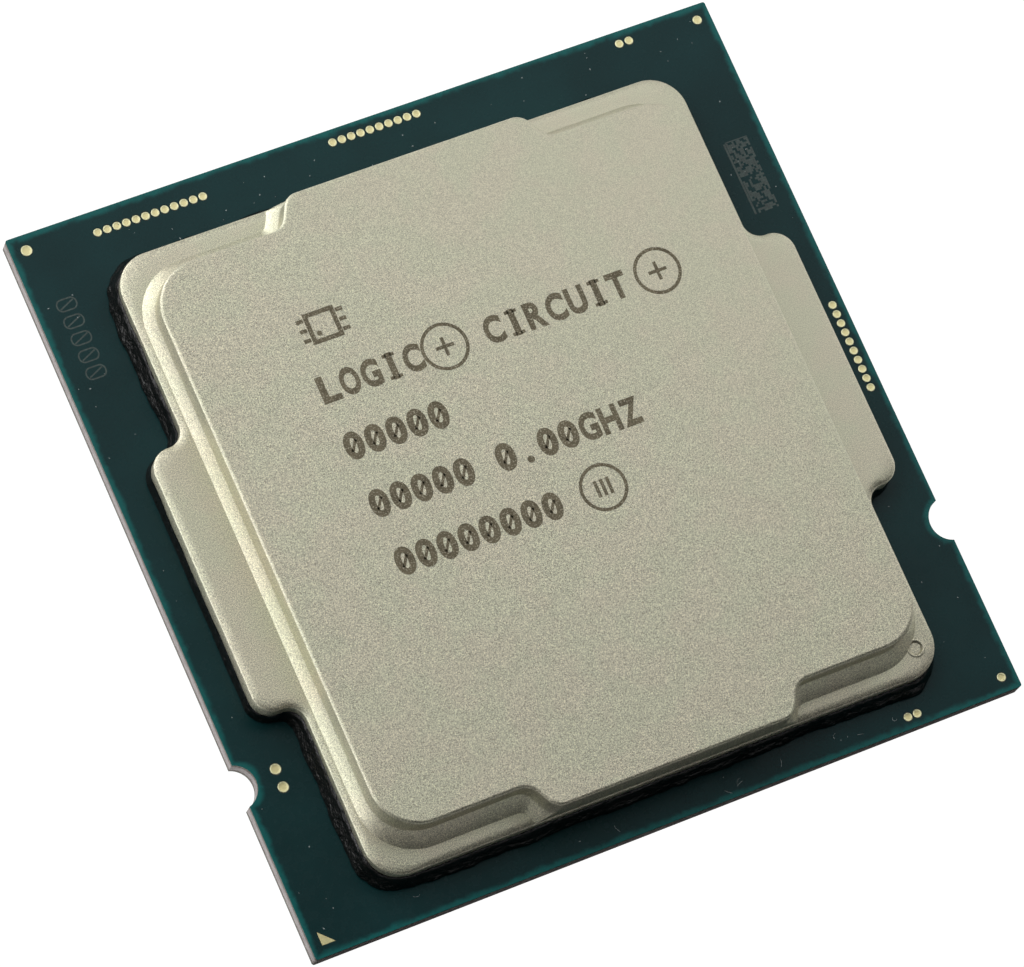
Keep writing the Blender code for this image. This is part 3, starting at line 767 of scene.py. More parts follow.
class RepeatBench(NodeBench):
    """Builds a Geometry Nodes tree that repeats the shape it is put on."""

    def __init__(self, name: str) -> None:
        """Start a tree with a shape going in and a geometry coming out."""
        super().__init__(bpy.data.node_groups.new(name, "GeometryNodeTree"))
        self.tree.interface.new_socket("Shape", in_out="INPUT", socket_type="NodeSocketGeometry")
        self.tree.interface.new_socket("Result", in_out="OUTPUT", socket_type="NodeSocketGeometry")
        self.entry = self.add("NodeGroupInput")
        self.exit = self.add("NodeGroupOutput")
        self.shape = self.entry.outputs["Shape"]

    def size(self, name: str, kind: str = "Float") -> bpy.types.NodeSocket:
        """Add a named input, of kind Float, Int or Vector, and return its socket."""
        self.tree.interface.new_socket(name, in_out="INPUT", socket_type=f"NodeSocket{kind}")
        return self.entry.outputs[name]

    def compare(self, first: Any, operation: str, second: Any) -> bpy.types.NodeSocket:
        """Compare two numbers."""
        node = self.add("FunctionNodeCompare", data_type="FLOAT", operation=operation)
        self.feed(node.inputs[0], first)
        self.feed(node.inputs[1], second)
        return node.outputs[0]

    def both(self, first: Any, second: Any, operation: str = "AND") -> bpy.types.NodeSocket:
        """Join two conditions."""
        return self.add("FunctionNodeBooleanMath", {0: first, 1: second}, operation=operation).outputs[0]

    def chance(self, kind: str, seed: Any, **limits: Any) -> bpy.types.NodeSocket:
        """A random value for each point.

        Args:
            kind: FLOAT_VECTOR or BOOLEAN.
            seed: The seed's socket or number.
            limits: Min and Max for a vector, or Probability for true or false.

        Returns:
            The random value's socket.
        """
        node = self.add("FunctionNodeRandomValue", data_type=kind)
        for name, value in {**limits, "Seed": seed}.items():
            self.feed(self.socket(node.inputs, name), value)
        return next(item for item in node.outputs if item.enabled)

    def close(self, points: Any, finish: Finish, inputs: dict | None = None, second: Finish | None = None) -> None:
        """Put the shape on the points, realize it and give it its material.

        Args:
            points: The points' socket.
            finish: The finish of the whole shape.
            inputs: Rotation and Scale for the copies.
            second: The finish of the faces whose metal attribute is set.
        """
        feed = {"Points": points, "Instance": self.shape, **(inputs or {})}
        copies = self.add("GeometryNodeInstanceOnPoints", feed).outputs[0]
        real = self.add("GeometryNodeRealizeInstances", {0: copies}).outputs[0]
        dressed = self.add("GeometryNodeSetMaterial", {"Geometry": real, "Material": finish.material()}).outputs[0]
        if second:
            metal = self.add("GeometryNodeInputNamedAttribute", {"Name": "metal"}, data_type="BOOLEAN")
            pick = self.socket(metal.outputs, "Attribute")
            feed = {"Geometry": dressed, "Selection": pick, "Material": second.material()}
            dressed = self.add("GeometryNodeSetMaterial", feed).outputs[0]
        self.tree.links.new(dressed, self.exit.inputs["Result"])

    def grow(self, shape: bpy.types.Mesh, **sizes: Any) -> bpy.types.Mesh:
        """Run the tree on a shape.

        Args:
            shape: The mesh that is repeated, which is removed.
            sizes: A value for each named input; an underscore stands for a space.

        Returns:
            A new plain mesh.
        """
        seedbed = bpy.data.objects.new("seedbed", shape)
        bpy.context.scene.collection.objects.link(seedbed)
        modifier = seedbed.modifiers.new("repeat", "NODES")
        modifier.node_group = self.tree
        sockets = {item.name: item for item in self.tree.interface.items_tree if item.in_out == "INPUT"}
        for name, value in sizes.items():
            modifier[sockets[name.replace("_", " ")].identifier] = value
        seedbed.update_tag()
        graph = bpy.context.evaluated_depsgraph_get()
        mesh = bpy.data.meshes.new_from_object(seedbed.evaluated_get(graph))
        seedbed.modifiers.remove(modifier)
        bpy.data.objects.remove(seedbed, do_unlink=True)
        bpy.data.meshes.remove(shape)
        return mesh


def row_tree(finish: Finish) -> RepeatBench:
    """A tree that repeats a shape along a straight row."""
    bench = RepeatBench("row")
    feed = {
        "Count": bench.size("Count", "Int"),
        "Start Location": bench.size("First", "Vector"),
        "Offset": bench.size("Step", "Vector"),
    }
    line = bench.add("GeometryNodeMeshLine", mode="OFFSET")
    for name, value in feed.items():
        bench.feed(bench.socket(line.inputs, name), value)
    bench.close(line.outputs[0], finish)
    return bench


def field_points(bench: RepeatBench) -> tuple[Any, Any, Any]:
    """Lay out a grid of points, by named inputs for its pitch and its columns and rows.

    Args:
        bench: The tree's bench.

    Returns:
        The grid's points, and each point's x and y.
    """
    columns, rows = bench.size("Columns", "Int"), bench.size("Rows", "Int")
    pitch_x, pitch_y = bench.size("Pitch X"), bench.size("Pitch Y")
    size_x = bench.calc("MULTIPLY", pitch_x, bench.calc("SUBTRACT", columns, 1.0))
    size_y = bench.calc("MULTIPLY", pitch_y, bench.calc("SUBTRACT", rows, 1.0))
    feed = {"Size X": size_x, "Size Y": size_y, "Vertices X": columns, "Vertices Y": rows}
    grid = bench.add("GeometryNodeMeshGrid", feed).outputs[0]
    place = bench.add("GeometryNodeInputPosition").outputs[0]
    x, y, _ = bench.add("ShaderNodeSeparateXYZ", {0: place}).outputs
    return grid, x, y


def without(bench: RepeatBench, points: Any, condition: Any) -> bpy.types.NodeSocket:
    """Remove the points for which a condition holds."""
    feed = {"Geometry": points, "Selection": condition}
    return bench.add("GeometryNodeDeleteGeometry", feed, domain="POINT").outputs[0]


def land_tree(finish: Finish) -> RepeatBench:
    """A tree that fills a grid with lands, round a window and clear of the corners and notches."""
    bench = RepeatBench("land_grid")
    grid, x, y = field_points(bench)
    wide, deep = bench.calc("ABSOLUTE", x), bench.calc("ABSOLUTE", y)
    inside = bench.both(
        bench.compare(wide, "LESS_THAN", bench.size("Window X")),
        bench.compare(deep, "LESS_THAN", bench.size("Window Y")),
    )
    corner = bench.compare(bench.calc("ADD", wide, deep), "GREATER_THAN", bench.size("Corner Reach"))
    off_notch = bench.calc("ABSOLUTE", bench.calc("SUBTRACT", y, bench.size("Notch Y")))
    notch = bench.both(
        bench.compare(wide, "GREATER_THAN", bench.size("Notch X")),
        bench.compare(off_notch, "LESS_THAN", bench.size("Notch Half")),
    )
    gone = bench.both(bench.both(inside, corner, "OR"), notch, "OR")
    bench.close(without(bench, grid, gone), finish)
    return bench


def grid_tree(finish: Finish, second: Finish) -> RepeatBench:
    """A tree that repeats a two-finish shape on a plain grid."""
    bench = RepeatBench("capacitor_grid")
    grid, _, _ = field_points(bench)
    bench.close(grid, finish, second=second)
    return bench


def code_tree(finish: Finish) -> RepeatBench:
    """A tree that keeps a random share of a grid's cells, as a generic pattern of modules."""
    bench = RepeatBench("module_grid")
    grid, _, _ = field_points(bench)
    empty = bench.chance("BOOLEAN", bench.size("Seed", "Int"), Probability=bench.size("Empty Share"))
    bench.close(without(bench, grid, empty), finish)
    return bench


def dust_tree(finish: Finish) -> RepeatBench:
    """A tree that scatters turned and scaled specks over the board, clear of the lid."""
    bench = RepeatBench("dust")
    grid, x, y = field_points(bench)
    seed = bench.size("Seed", "Int")
    beside = bench.compare(bench.calc("ABSOLUTE", x), "LESS_THAN", bench.size("Lid X"))
    off_middle = bench.calc("ABSOLUTE", bench.calc("SUBTRACT", y, bench.size("Lid Y")))
    under_lid = bench.both(beside, bench.compare(off_middle, "LESS_THAN", bench.size("Lid Half")))
    ear = bench.both(
        bench.compare(bench.calc("ABSOLUTE", x), "LESS_THAN", bench.size("Ear X")),
        bench.compare(off_middle, "LESS_THAN", bench.size("Ear Half")),
    )
    board = without(bench, grid, bench.both(under_lid, ear, "OR"))
    feed = {"Mesh": board, "Density": bench.size("Density"), "Seed": seed}
    points = bench.add("GeometryNodeDistributePointsOnFaces", feed, distribute_method="RANDOM").outputs[0]
    raised = bench.add("GeometryNodeSetPosition", {"Geometry": points}).outputs[0]
    bench.feed(raised.node.inputs["Offset"], bench.size("Lift", "Vector"))
    turn = bench.chance("FLOAT_VECTOR", seed, Min=(0.0, 0.0, 0.0), Max=(0.4, 0.4, 2 * math.pi))
    next_seed = bench.calc("ADD", seed, 1.0)
    size = bench.chance("FLOAT_VECTOR", next_seed, Min=(0.35, 0.35, 0.3), Max=(1.5, 1.0, 1.0))
    bench.close(raised, finish, {"Rotation": turn, "Scale": size})
    return bench


# --------------------------------------------------------------------------------------------
# The lid
# --------------------------------------------------------------------------------------------


@dataclass
class HeatSpreader:
    """Nickel-plated lid: a flange with an ear on each side, and a plateau with two tabs."""

    node: str = "heat_spreader"
    arc_steps: int = 14
    flange_half_x: float = 15.01 * MM
    flange_radius: float = 1.8 * MM
    flange_inner_radius: float = 2.9 * MM
    ear_half_y: float = 6.8 * MM
    ear_radius: float = 1.05 * MM
    ear_inner_radius: float = 1.5 * MM
    ear_root_radius: float = 0.85 * MM
    roll_width: float = 0.44 * MM
    roll_depth: float = 0.17 * MM
    roll_steps: int = 9
    step_height: float = 1.91 * MM
    plateau_shift: float = -0.085 * MM
    plateau_half_x: float = 14.2 * MM
    plateau_half_y: float = 14.56 * MM
    plateau_radius: float = 2.35 * MM
    tab_half_y: float = 16.05 * MM
    tab_root_half_x: float = 7.05 * MM
    tab_tip_half_x: float = 6.25 * MM
    tab_radius: float = 0.9 * MM
    # How far the tabs' sides move with an offset, as a share of it.
    tab_spread: float = 0.6
    edge_roll: float = 0.16 * MM
    edge_steps: int = 6
    fillet: float = 0.45 * MM
    fillet_height: float = 0.72 * MM
    # How straight the foot's fillet is, from 0 for a quarter round to 1 for an even slope.
    fillet_draft: float = 0.80
    fillet_stretch: float = 1.6
    fillet_steps: int = 8
    fillet_sink: float = 0.004 * MM
    lip: float = 0.05 * MM
    cavity_half_x: float = 11.5 * MM
    cavity_half_y: float = 12.2 * MM
    cavity_radius: float = 2.0 * MM
    cavity_height: float = 0.95 * MM
    dimple_x: float = 13.89 * MM
    dimple_y: float = -15.48 * MM
    dimple_radius: float = 0.33 * MM
    dimple_floor_radius: float = 0.27 * MM
    dimple_depth: float = 0.05 * MM
    dimple_steps: int = 40
    # The lip that the stamp raised round the dimple: radius and height over the flange.
    dimple_lip: tuple[tuple[float, float], ...] = (
        (0.300 * MM, -0.030 * MM),
        (0.480 * MM, -0.030 * MM),
        (0.470 * MM, 0.004 * MM),
        (0.440 * MM, 0.026 * MM),
        (0.400 * MM, 0.034 * MM),
        (0.360 * MM, 0.026 * MM),
        (0.330 * MM, 0.004 * MM),
    )
    ear_half_x: float = field(init=False)
    middle_y: float = field(init=False)
    flange_half_y: float = field(init=False)
    foot_z: float = field(init=False)
    flange_z: float = field(init=False)
    top_z: float = field(init=False)

    def __post_init__(self) -> None:
        """Read the lid's place and overall sizes from the frame."""
        low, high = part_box(self.node)
        self.ear_half_x = (high.x - low.x) / 2
        self.middle_y = (low.y + high.y) / 2
        self.flange_half_y = (high.y - low.y) / 2
        self.foot_z = low.z
        self.top_z = high.z
        self.flange_z = high.z - self.step_height

    def flange_ring(self, grow: float, roll: float = 0.0) -> Outline:
        """Draw the flange's outline.

        Args:
            grow: Offset outwards.
            roll: Share of the corners' rounding that the rolled edge adds.

        Returns:
            The outline's points.
        """
        x, ear_x = self.flange_half_x + grow, self.ear_half_x + grow
        low, high = self.middle_y - self.flange_half_y - grow, self.middle_y + self.flange_half_y + grow
        ear_low, ear_high = self.middle_y - self.ear_half_y - grow, self.middle_y + self.ear_half_y + grow
        corner = between(self.flange_radius, self.flange_inner_radius, roll) + grow * (1 - roll)
        outer = between(self.ear_radius, self.ear_inner_radius, roll) + grow * (1 - roll)
        inner = self.ear_root_radius - grow
        half = [(x, low, corner), (x, ear_low, inner), (ear_x, ear_low, outer)]
        half += [(ear_x, ear_high, outer), (x, ear_high, inner), (x, high, corner)]
        return rounded_outline(half + [(-x, y, radius) for x, y, radius in reversed(half)], self.arc_steps)

    def plateau_ring(self, grow: float, stretch: float = 1.0) -> Outline:
        """Draw the plateau's outline with its tabs, held inside the flange's lip.

        Args:
            grow: Offset outwards.
            stretch: How many times larger the offset is in front and at the rear.

        Returns:
            The outline's points.
        """
        middle = self.middle_y + self.plateau_shift
        x = self.plateau_half_x + grow
        deep = grow * stretch
        low, high = middle - self.plateau_half_y - deep, middle + self.plateau_half_y + deep
        tab_low, tab_high = middle - self.tab_half_y - deep, middle + self.tab_half_y + deep
        root, tip = self.tab_root_half_x + grow * self.tab_spread, self.tab_tip_half_x + grow * self.tab_spread
        corner, outer, inner = self.plateau_radius + grow, self.tab_radius + grow, self.tab_radius - grow
        back = [(x, high, corner), (root, high, inner), (tip, tab_high, outer)]
        front = [(x, low, corner), (root, low, inner), (tip, tab_low, outer)]
        corners = back + [(-x, y, radius) for x, y, radius in reversed(back)]
        corners += [(-x, y, radius) for x, y, radius in front] + list(reversed(front))
        reach = self.flange_half_y - self.lip
        floor, ceiling = self.middle_y - reach, self.middle_y + reach
        return [(x, min(max(y, floor), ceiling)) for x, y in rounded_outline(corners, self.arc_steps)]

    def flange_form(self) -> bmesh.types.BMesh:
        """The flange, with the rolled upper edge that stamping leaves."""
        levels = [(self.flange_ring(0.0), self.foot_z)]
        for step in range(self.roll_steps + 1):
            turn = math.pi / 2 * step / self.roll_steps
            share = 1.0 - math.cos(turn)
            height = self.flange_z - self.roll_depth * (1.0 - math.sin(turn))
            levels.append((self.flange_ring(-self.roll_width * share, share), height))
        return loft(levels)

    def plateau_form(self) -> bmesh.types.BMesh:
        """The plateau, with a sloping, slightly hollow foot and a rolled upper edge."""
        foot = self.flange_z - self.fillet_sink
        levels = [(self.plateau_ring(self.fillet, self.fillet_stretch), foot - self.fillet)]
        for step in range(self.fillet_steps + 1):
            share = step / self.fillet_steps
            turn = math.pi / 2 * share
            climb = between(1.0 - math.cos(turn), share, self.fillet_draft)
            height = foot + self.fillet_height * climb
            reach = self.fillet * (1.0 - between(math.sin(turn), share, self.fillet_draft))
            levels.append((self.plateau_ring(reach, self.fillet_stretch), height))
        for step in range(self.edge_steps + 1):
            turn = math.pi / 2 * step / self.edge_steps
            height = self.top_z - self.edge_roll * (1.0 - math.sin(turn))
            levels.append((self.plateau_ring(-self.edge_roll * (1.0 - math.cos(turn))), height))
        return loft(levels)

    def cavity_form(self) -> bmesh.types.BMesh:
        """The hollow over the die."""
        outline = rectangle_outline(
            self.cavity_half_x, self.cavity_half_y, self.cavity_radius, self.arc_steps, self.middle_y
        )
        return loft([(outline, self.foot_z - MM), (outline, self.foot_z + self.cavity_height)])

    def dimple_form(self) -> bmesh.types.BMesh:
        """The stamped dimple in the flange's front right corner."""
        slope = (self.dimple_radius - self.dimple_floor_radius) / self.dimple_depth
        above = 0.5 * self.dimple_depth
        profile = [
            (self.dimple_floor_radius, self.flange_z - self.dimple_depth),
            (self.dimple_radius + slope * above, self.flange_z + above),
        ]
        return turned(profile, self.dimple_steps, self.dimple_x, self.dimple_y)

    def dimple_lip_form(self) -> bmesh.types.BMesh:
        """The raised lip round the dimple."""
        place = (self.dimple_x, self.dimple_y)
        rings = [(circle_outline(*place, radius, self.dimple_steps), rise) for radius, rise in self.dimple_lip]
        levels = [(outline, self.flange_z + rise) for outline, rise in rings]
        form = loft(levels, closed=True)
        bmesh.ops.recalc_face_normals(form, faces=form.faces)
        return form

    def sort_faces(self, form: bmesh.types.BMesh) -> None:
        """Give each face the number of its finish: top, flange, wall or rolled edge."""
        near = 0.01 * MM
        top, flange, wall, rolled = range(len(Metalwork.ALL))
        for face in form.faces:
            centre = face.calc_center_median()
            level = abs(face.normal.z) > 0.9999
            if level and centre.z > self.top_z - near:
                face.material_index = top
            elif level:
                face.material_index = flange
            elif centre.z > self.top_z - self.edge_roll - near or centre.z < self.flange_z - near:
                face.material_index = rolled
            else:
                face.material_index = wall

    def build(self) -> bpy.types.Object:
        """Make the lid and dress it."""
        form = carved(self.flange_form(), "UNION", self.plateau_form(), self.dimple_lip_form())
        form = carved(form, "DIFFERENCE", self.cavity_form(), self.dimple_form())
        bmesh.ops.dissolve_degenerate(form, edges=form.edges, dist=0.0002 * MM)
        bmesh.ops.triangulate(form, faces=[face for face in form.faces if len(face.verts) > 4])
        form.normal_update()
        self.sort_faces(form)
        shade(form)
        return add_piece("nickel_lid", painted(form, *Metalwork.ALL), "nickel", self.node)


@dataclass
class SealantBead:
    """Black sealant: a lumpy bead squeezed out round the flange, and the bond line under it."""

    lid: HeatSpreader
    node: str = "lid_sealant"
    spacing: float = 0.16 * MM
    squeeze: float = 0.40 * MM
    ear_squeeze: float = 0.12 * MM
    climb: float = 1.12 * MM
    ear_climb: float = 0.80 * MM
    bond_reach: float = 0.5 * MM
    bond_width: float = 2.4 * MM
    vent_x: float = 9.0 * MM
    vent_width: float = 2.4 * MM
    # The bead's section: share of the squeeze outwards, and share of the climb upwards.
    section: tuple[tuple[float, float], ...] = (
        (1.00, 0.00),
        (1.04, 0.07),
        (0.98, 0.19),
        (0.80, 0.33),
        (0.58, 0.48),
        (0.42, 0.64),
        (0.32, 0.80),
        (0.22, 0.93),
        (0.02, 1.00),
    )

    def lump(self, place: Vector, size: float, seed: float) -> float:
        """Smooth noise between -1 and 1 for a place on the bead."""
        return noise.noise(Vector((place.x / size, place.y / size, seed)))

    def fullness(self, place: Vector) -> float:
        """How full the bead is at a place: 1 along the flange, 0 along an ear's end."""
        past = (abs(place.x) - self.lid.flange_half_x - 0.1 * MM) / (0.9 * MM)
        return 1.0 - min(max(past, 0.0), 1.0)

    def build(self) -> bpy.types.Object:
        """Make the bead and the bond line, with a vent gap at the rear."""
        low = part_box(self.node)[0].z
        roof = self.lid.foot_z - 0.01 * MM
        walk = evenly_spaced(self.lid.flange_ring(0.012 * MM), self.spacing)
        rings: list[list[Vector]] = [[] for _ in range(len(self.section) + 3)]
        for place, outward in walk:
            full = self.fullness(place)
            ragged = 1.0 + 0.34 * self.lump(place, 1.8 * MM, 1.0) + 0.16 * self.lump(place, 0.45 * MM, 5.0)
            reach = between(self.ear_squeeze, self.squeeze, full) * ragged
            height = between(self.ear_climb, self.climb, full)
            height *= 1.0 + 0.16 * self.lump(place, 1.6 * MM, 9.0) + 0.06 * self.lump(place, 0.4 * MM, 3.0)
            for ring, (out, up) in zip(rings, self.section):
                spot = place + outward * reach * out
                ring.append(Vector((spot.x, spot.y, low + height * up)))
            inside = place - outward * self.bond_reach
            rings[-3].append(Vector((place.x, place.y, roof)))
            rings[-2].append(Vector((inside.x, inside.y, roof)))
            rings[-1].append(Vector((inside.x, inside.y, low)))
        form = skinned(rings, closed=True)
        bmesh.ops.recalc_face_normals(form, faces=form.faces)
        bond = flat_solid(
            [
                self.lid.flange_ring(-self.bond_reach - 0.02 * MM),
                rectangle_outline(
                    self.lid.flange_half_x - self.bond_width,
                    self.lid.flange_half_y - self.bond_width,
                    self.lid.cavity_radius,
                    self.lid.arc_steps,
                    self.lid.middle_y,
                ),
            ],
            low,
            roof,
        )
        form = carved(joined([form, bond]), "DIFFERENCE", self.vent_form())
        shade(form, 60.0)
        return add_piece("sealant_bead", painted(form, SEALANT), "sealant", self.node)

    def vent_form(self) -> bmesh.types.BMesh:
        """The block that leaves the vent gap at the rear."""
        low = Vector((self.vent_x - self.vent_width / 2, self.lid.middle_y + self.lid.flange_half_y / 2, 0.0))
        high = Vector((self.vent_x + self.vent_width / 2, self.lid.middle_y + self.lid.flange_half_y + 2 * MM, 6 * MM))
        form = bmesh.new()
        place = Matrix.Translation((low + high) / 2) @ Matrix.Diagonal((*(high - low), 1.0))
        bmesh.ops.create_cube(form, size=1.0, matrix=place)
        return form


class Symbol(Enum):
    """The plain symbols that stand inside a ring on the lid."""

    PLUS = "plus"
    BARS = "bars"


@dataclass
class LidMarking:
    """Laser marking on the plateau, with generic words, zeros and symbols only."""

    lid: HeatSpreader
    left: float = -8.65 * MM
    cap_height: float = 1.30 * MM
    letter_width: float = 0.98 * MM
    pitch: float = 1.10 * MM
    line_gap: float = 3.01 * MM
    first_line: float = 5.05 * MM
    ring_radius: float = 1.2 * MM
    stroke: float = 0.17 * MM
    proud: float = 0.0015 * MM
    depth: float = 0.004 * MM

    def letter(self, character: str, x: float, y: float) -> list[bmesh.types.BMesh]:
        """Make one letter, centred in its cell on a baseline.

        Args:
            character: The letter, digit or stop.
            x: Middle of its cell.
            y: Its baseline.

        Returns:
            The letter's forms.
        """
        if character == " ":
            return []
        curve = bpy.data.curves.new("letter", "FONT")
        curve.body = character
        curve.size = 1.0
        curve.offset = 0.042
        curve.extrude = 0.5
        curve.resolution_u = 6
        form = solid_from_curve(curve)
        xs = [vert.co.x for vert in form.verts]
        ys = [vert.co.y for vert in form.verts]
        scale_y = self.cap_height / 0.72
        natural = (max(xs) - min(xs)) * scale_y
        scale_x = scale_y if natural < 0.3 * self.cap_height else self.letter_width / (max(xs) - min(xs))
        middle = Matrix.Translation((-(max(xs) + min(xs)) / 2, -min(0.0, min(ys)) * 0.5, 0.0))
        form.transform(self.slab(x, y) @ Matrix.Diagonal((scale_x, scale_y, 1.0, 1.0)) @ middle)
        made = [form]
        if character == "I":
            rise = self.cap_height - self.stroke / 2
            serif = 0.22 * self.letter_width
            places = [(side * (serif / 2 + 0.1 * MM), up) for side in (-1, 1) for up in (self.stroke / 2, rise)]
            made += [self.bar(x + out, y + up, serif, self.stroke) for out, up in places]
        if character == "0":
            lean = math.atan2(self.cap_height * 0.5, self.letter_width * 0.42)
            made.append(self.bar(x, y + self.cap_height / 2, self.cap_height * 0.5, self.stroke * 0.85, lean))
        return made

    def slab(self, x: float, y: float) -> Matrix:
        """The matrix that sets a flat shape of unit thickness into the plateau's surface."""
        middle = self.lid.top_z + self.proud - self.depth / 2
        return Matrix.Translation((x, y, middle)) @ Matrix.Diagonal((1.0, 1.0, self.depth, 1.0))

    def bar(self, x: float, y: float, length: float, width: float, lean: float = 0.0) -> bmesh.types.BMesh:
        """A straight stroke, turned about its middle."""
        form = bmesh.new()
        bmesh.ops.create_cube(form, size=1.0)
        form.transform(self.slab(x, y) @ Matrix.Rotation(lean, 4, "Z") @ Matrix.Diagonal((length, width, 1.0, 1.0)))
        return form

    def outline_solid(self, outlines: Sequence[Outline]) -> bmesh.types.BMesh:
        """A flat mark with holes."""
        high = self.lid.top_z + self.proud
        return flat_solid(outlines, high - self.depth, high)

    def ring(self, x: float, y: float, symbol: Symbol) -> list[bmesh.types.BMesh]:
        """A ring with a plain symbol in it.

        Args:
            x: Centre on X.
            y: Centre on Y.
            symbol: What stands in the ring.

        Returns:
            The mark's forms.
        """
        outer = circle_outline(x, y, self.ring_radius, 56)
        made = [self.outline_solid([outer, circle_outline(x, y, self.ring_radius - self.stroke, 56)])]
        arm = 0.95 * MM
        if symbol is Symbol.PLUS:
            limb = (arm - self.stroke) / 2
            reach = (arm + self.stroke) / 4
            made.append(self.bar(x, y, arm, self.stroke))
            made += [self.bar(x, y + side * reach, limb, self.stroke, math.pi / 2) for side in (-1, 1)]
        else:
            made += [self.bar(x + shift * MM, y, 0.85 * MM, self.stroke, math.pi / 2) for shift in (-0.32, 0.0, 0.32)]
        return made

    def chip_symbol(self, x: float, y: float) -> list[bmesh.types.BMesh]:
        """A plain drawing of a chip: a square with a dot, and legs on two sides."""
        half, inner = 0.80 * MM, 0.57 * MM
        outer = [(x + half * a, y + half * b) for a, b in ((1, -1), (1, 1), (-1, 1), (-1, -1))]
        hole = [(x + inner * a, y + inner * b) for a, b in ((1, -1), (1, 1), (-1, 1), (-1, -1))]
        made = [self.outline_solid([outer, hole])]
        made.append(self.outline_solid([circle_outline(x - 0.32 * MM, y - 0.32 * MM, 0.13 * MM, 20)]))
        for side in (-1, 1):
            for row in (-1, 0, 1):
                made.append(self.bar(x + side * (half + 0.22 * MM), y + row * 0.5 * MM, 0.36 * MM, 0.2 * MM))
        return made

    def words(self, text: str, x: float, y: float) -> list[bmesh.types.BMesh]:
        """A run of letters in even cells, from the left edge of the first."""
        made = []
        for index, character in enumerate(text):
            made += self.letter(character, x + self.letter_width / 2 + index * self.pitch, y)
        return made

    def build(self) -> bpy.types.Object:
        """Make the marks and dress them."""
        lines = [self.first_line - self.line_gap * index for index in range(4)]
        ring_rise = 0.68 * MM
        forms = self.chip_symbol(-7.15 * MM, 8.7 * MM)
        forms += self.words("LOGIC", self.left, lines[0])
        forms += self.ring(-2.08 * MM, lines[0] + ring_rise, Symbol.PLUS)
        forms += self.words("CIRCUIT", 0.0, lines[0])
        forms += self.ring(9.25 * MM, lines[0] + ring_rise, Symbol.PLUS)
        forms += self.words("00000", self.left, lines[1])
        forms += self.words("00000 0.00GHZ", self.left, lines[2])
        forms += self.words("00000000", self.left, lines[3])
        forms += self.ring(2.25 * MM, lines[3] + ring_rise, Symbol.BARS)
        return add_piece("lid_marking", painted(joined(forms), ETCHING), "nickel")


# --------------------------------------------------------------------------------------------
# The package
# --------------------------------------------------------------------------------------------


@dataclass
class Package:
    """The laminate with its masks: a square with a half-round notch in each side edge."""

    arc_steps: int = 10
    corner_radius: float = 0.12 * MM
    notch_radius: float = 1.10 * MM
    notch_depth: float = 0.79 * MM
    notch_y: float = -9.85 * MM
    opening: float = 0.03 * MM
    pad_sides: int = 32
    half_side: float = field(init=False)
    notch_x: float = field(init=False)

    def __post_init__(self) -> None:
        """Read the package's size from the frame."""
        low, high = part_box("top_solder_mask")
        self.half_side = (high.x - low.x) / 2
        self.notch_x = self.half_side + self.notch_radius - self.notch_depth

    def notch_arc(self, side: int) -> Outline:
        """One notch's points, in the order that the anticlockwise outline meets them."""
        radius = self.notch_radius
        half_angle = math.acos((self.notch_x - self.half_side) / radius)
        middle = math.pi if side > 0 else 0.0
        steps = 3 * self.arc_steps
        turns = [middle + half_angle * (1 - 2 * step / steps) for step in range(steps + 1)]
        return [
            (side * self.notch_x + radius * math.cos(turn), self.notch_y + radius * math.sin(turn))
            for turn in turns
        ]

    def outline(self) -> Outline:
        """Draw the package's outline with its two notches."""
        corner = rectangle_outline(self.half_side, self.half_side, self.corner_radius, self.arc_steps)
        each = self.arc_steps + 1
        parts = [corner[index * each : (index + 1) * each] for index in range(4)]
        front_right, back_right, back_left, front_left = parts
        left, right = self.notch_arc(-1), self.notch_arc(1)
        return front_right + right + back_right + back_left + left + front_left

    def lacquer(self, name: str) -> MaskLacquer:
        """The mask's finish, which follows the package's edges."""
        return MaskLacquer(name, self.half_side, self.notch_x, self.notch_y, self.notch_radius)

    def build_mask(self, node: str, name: str, holes: Sequence[Outline]) -> bpy.types.Object:
        """Make one mask as a thin plate.

        Args:
            node: The frame's node that gives its heights.
            name: The piece's name.
            holes: The outlines of its openings.

        Returns:
            The new object.
        """
        low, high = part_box(node)
        form = flat_solid([self.outline(), *holes], low.z, high.z)
        return add_piece(name, painted(form, self.lacquer("solder_mask")), "solder_mask", node)

    def dress_layers(self) -> None:
        """Dress the frame's own layers and the parts sealed under the lid."""
        finishes = {
            "core_laminate": CORE,
            "upper_build_up": BUILD_UP,
            "lower_build_up": BUILD_UP,
            "upper_copper_plane": COPPER,
            "lower_copper_plane": COPPER,
            "silicon_die": SILICON,
            "thermal_solder": SOLDER,
            "bump_array": SOLDER,
            "underfill": UNDERFILL,
        }
        for node, finish in finishes.items():
            dress(node, finish)


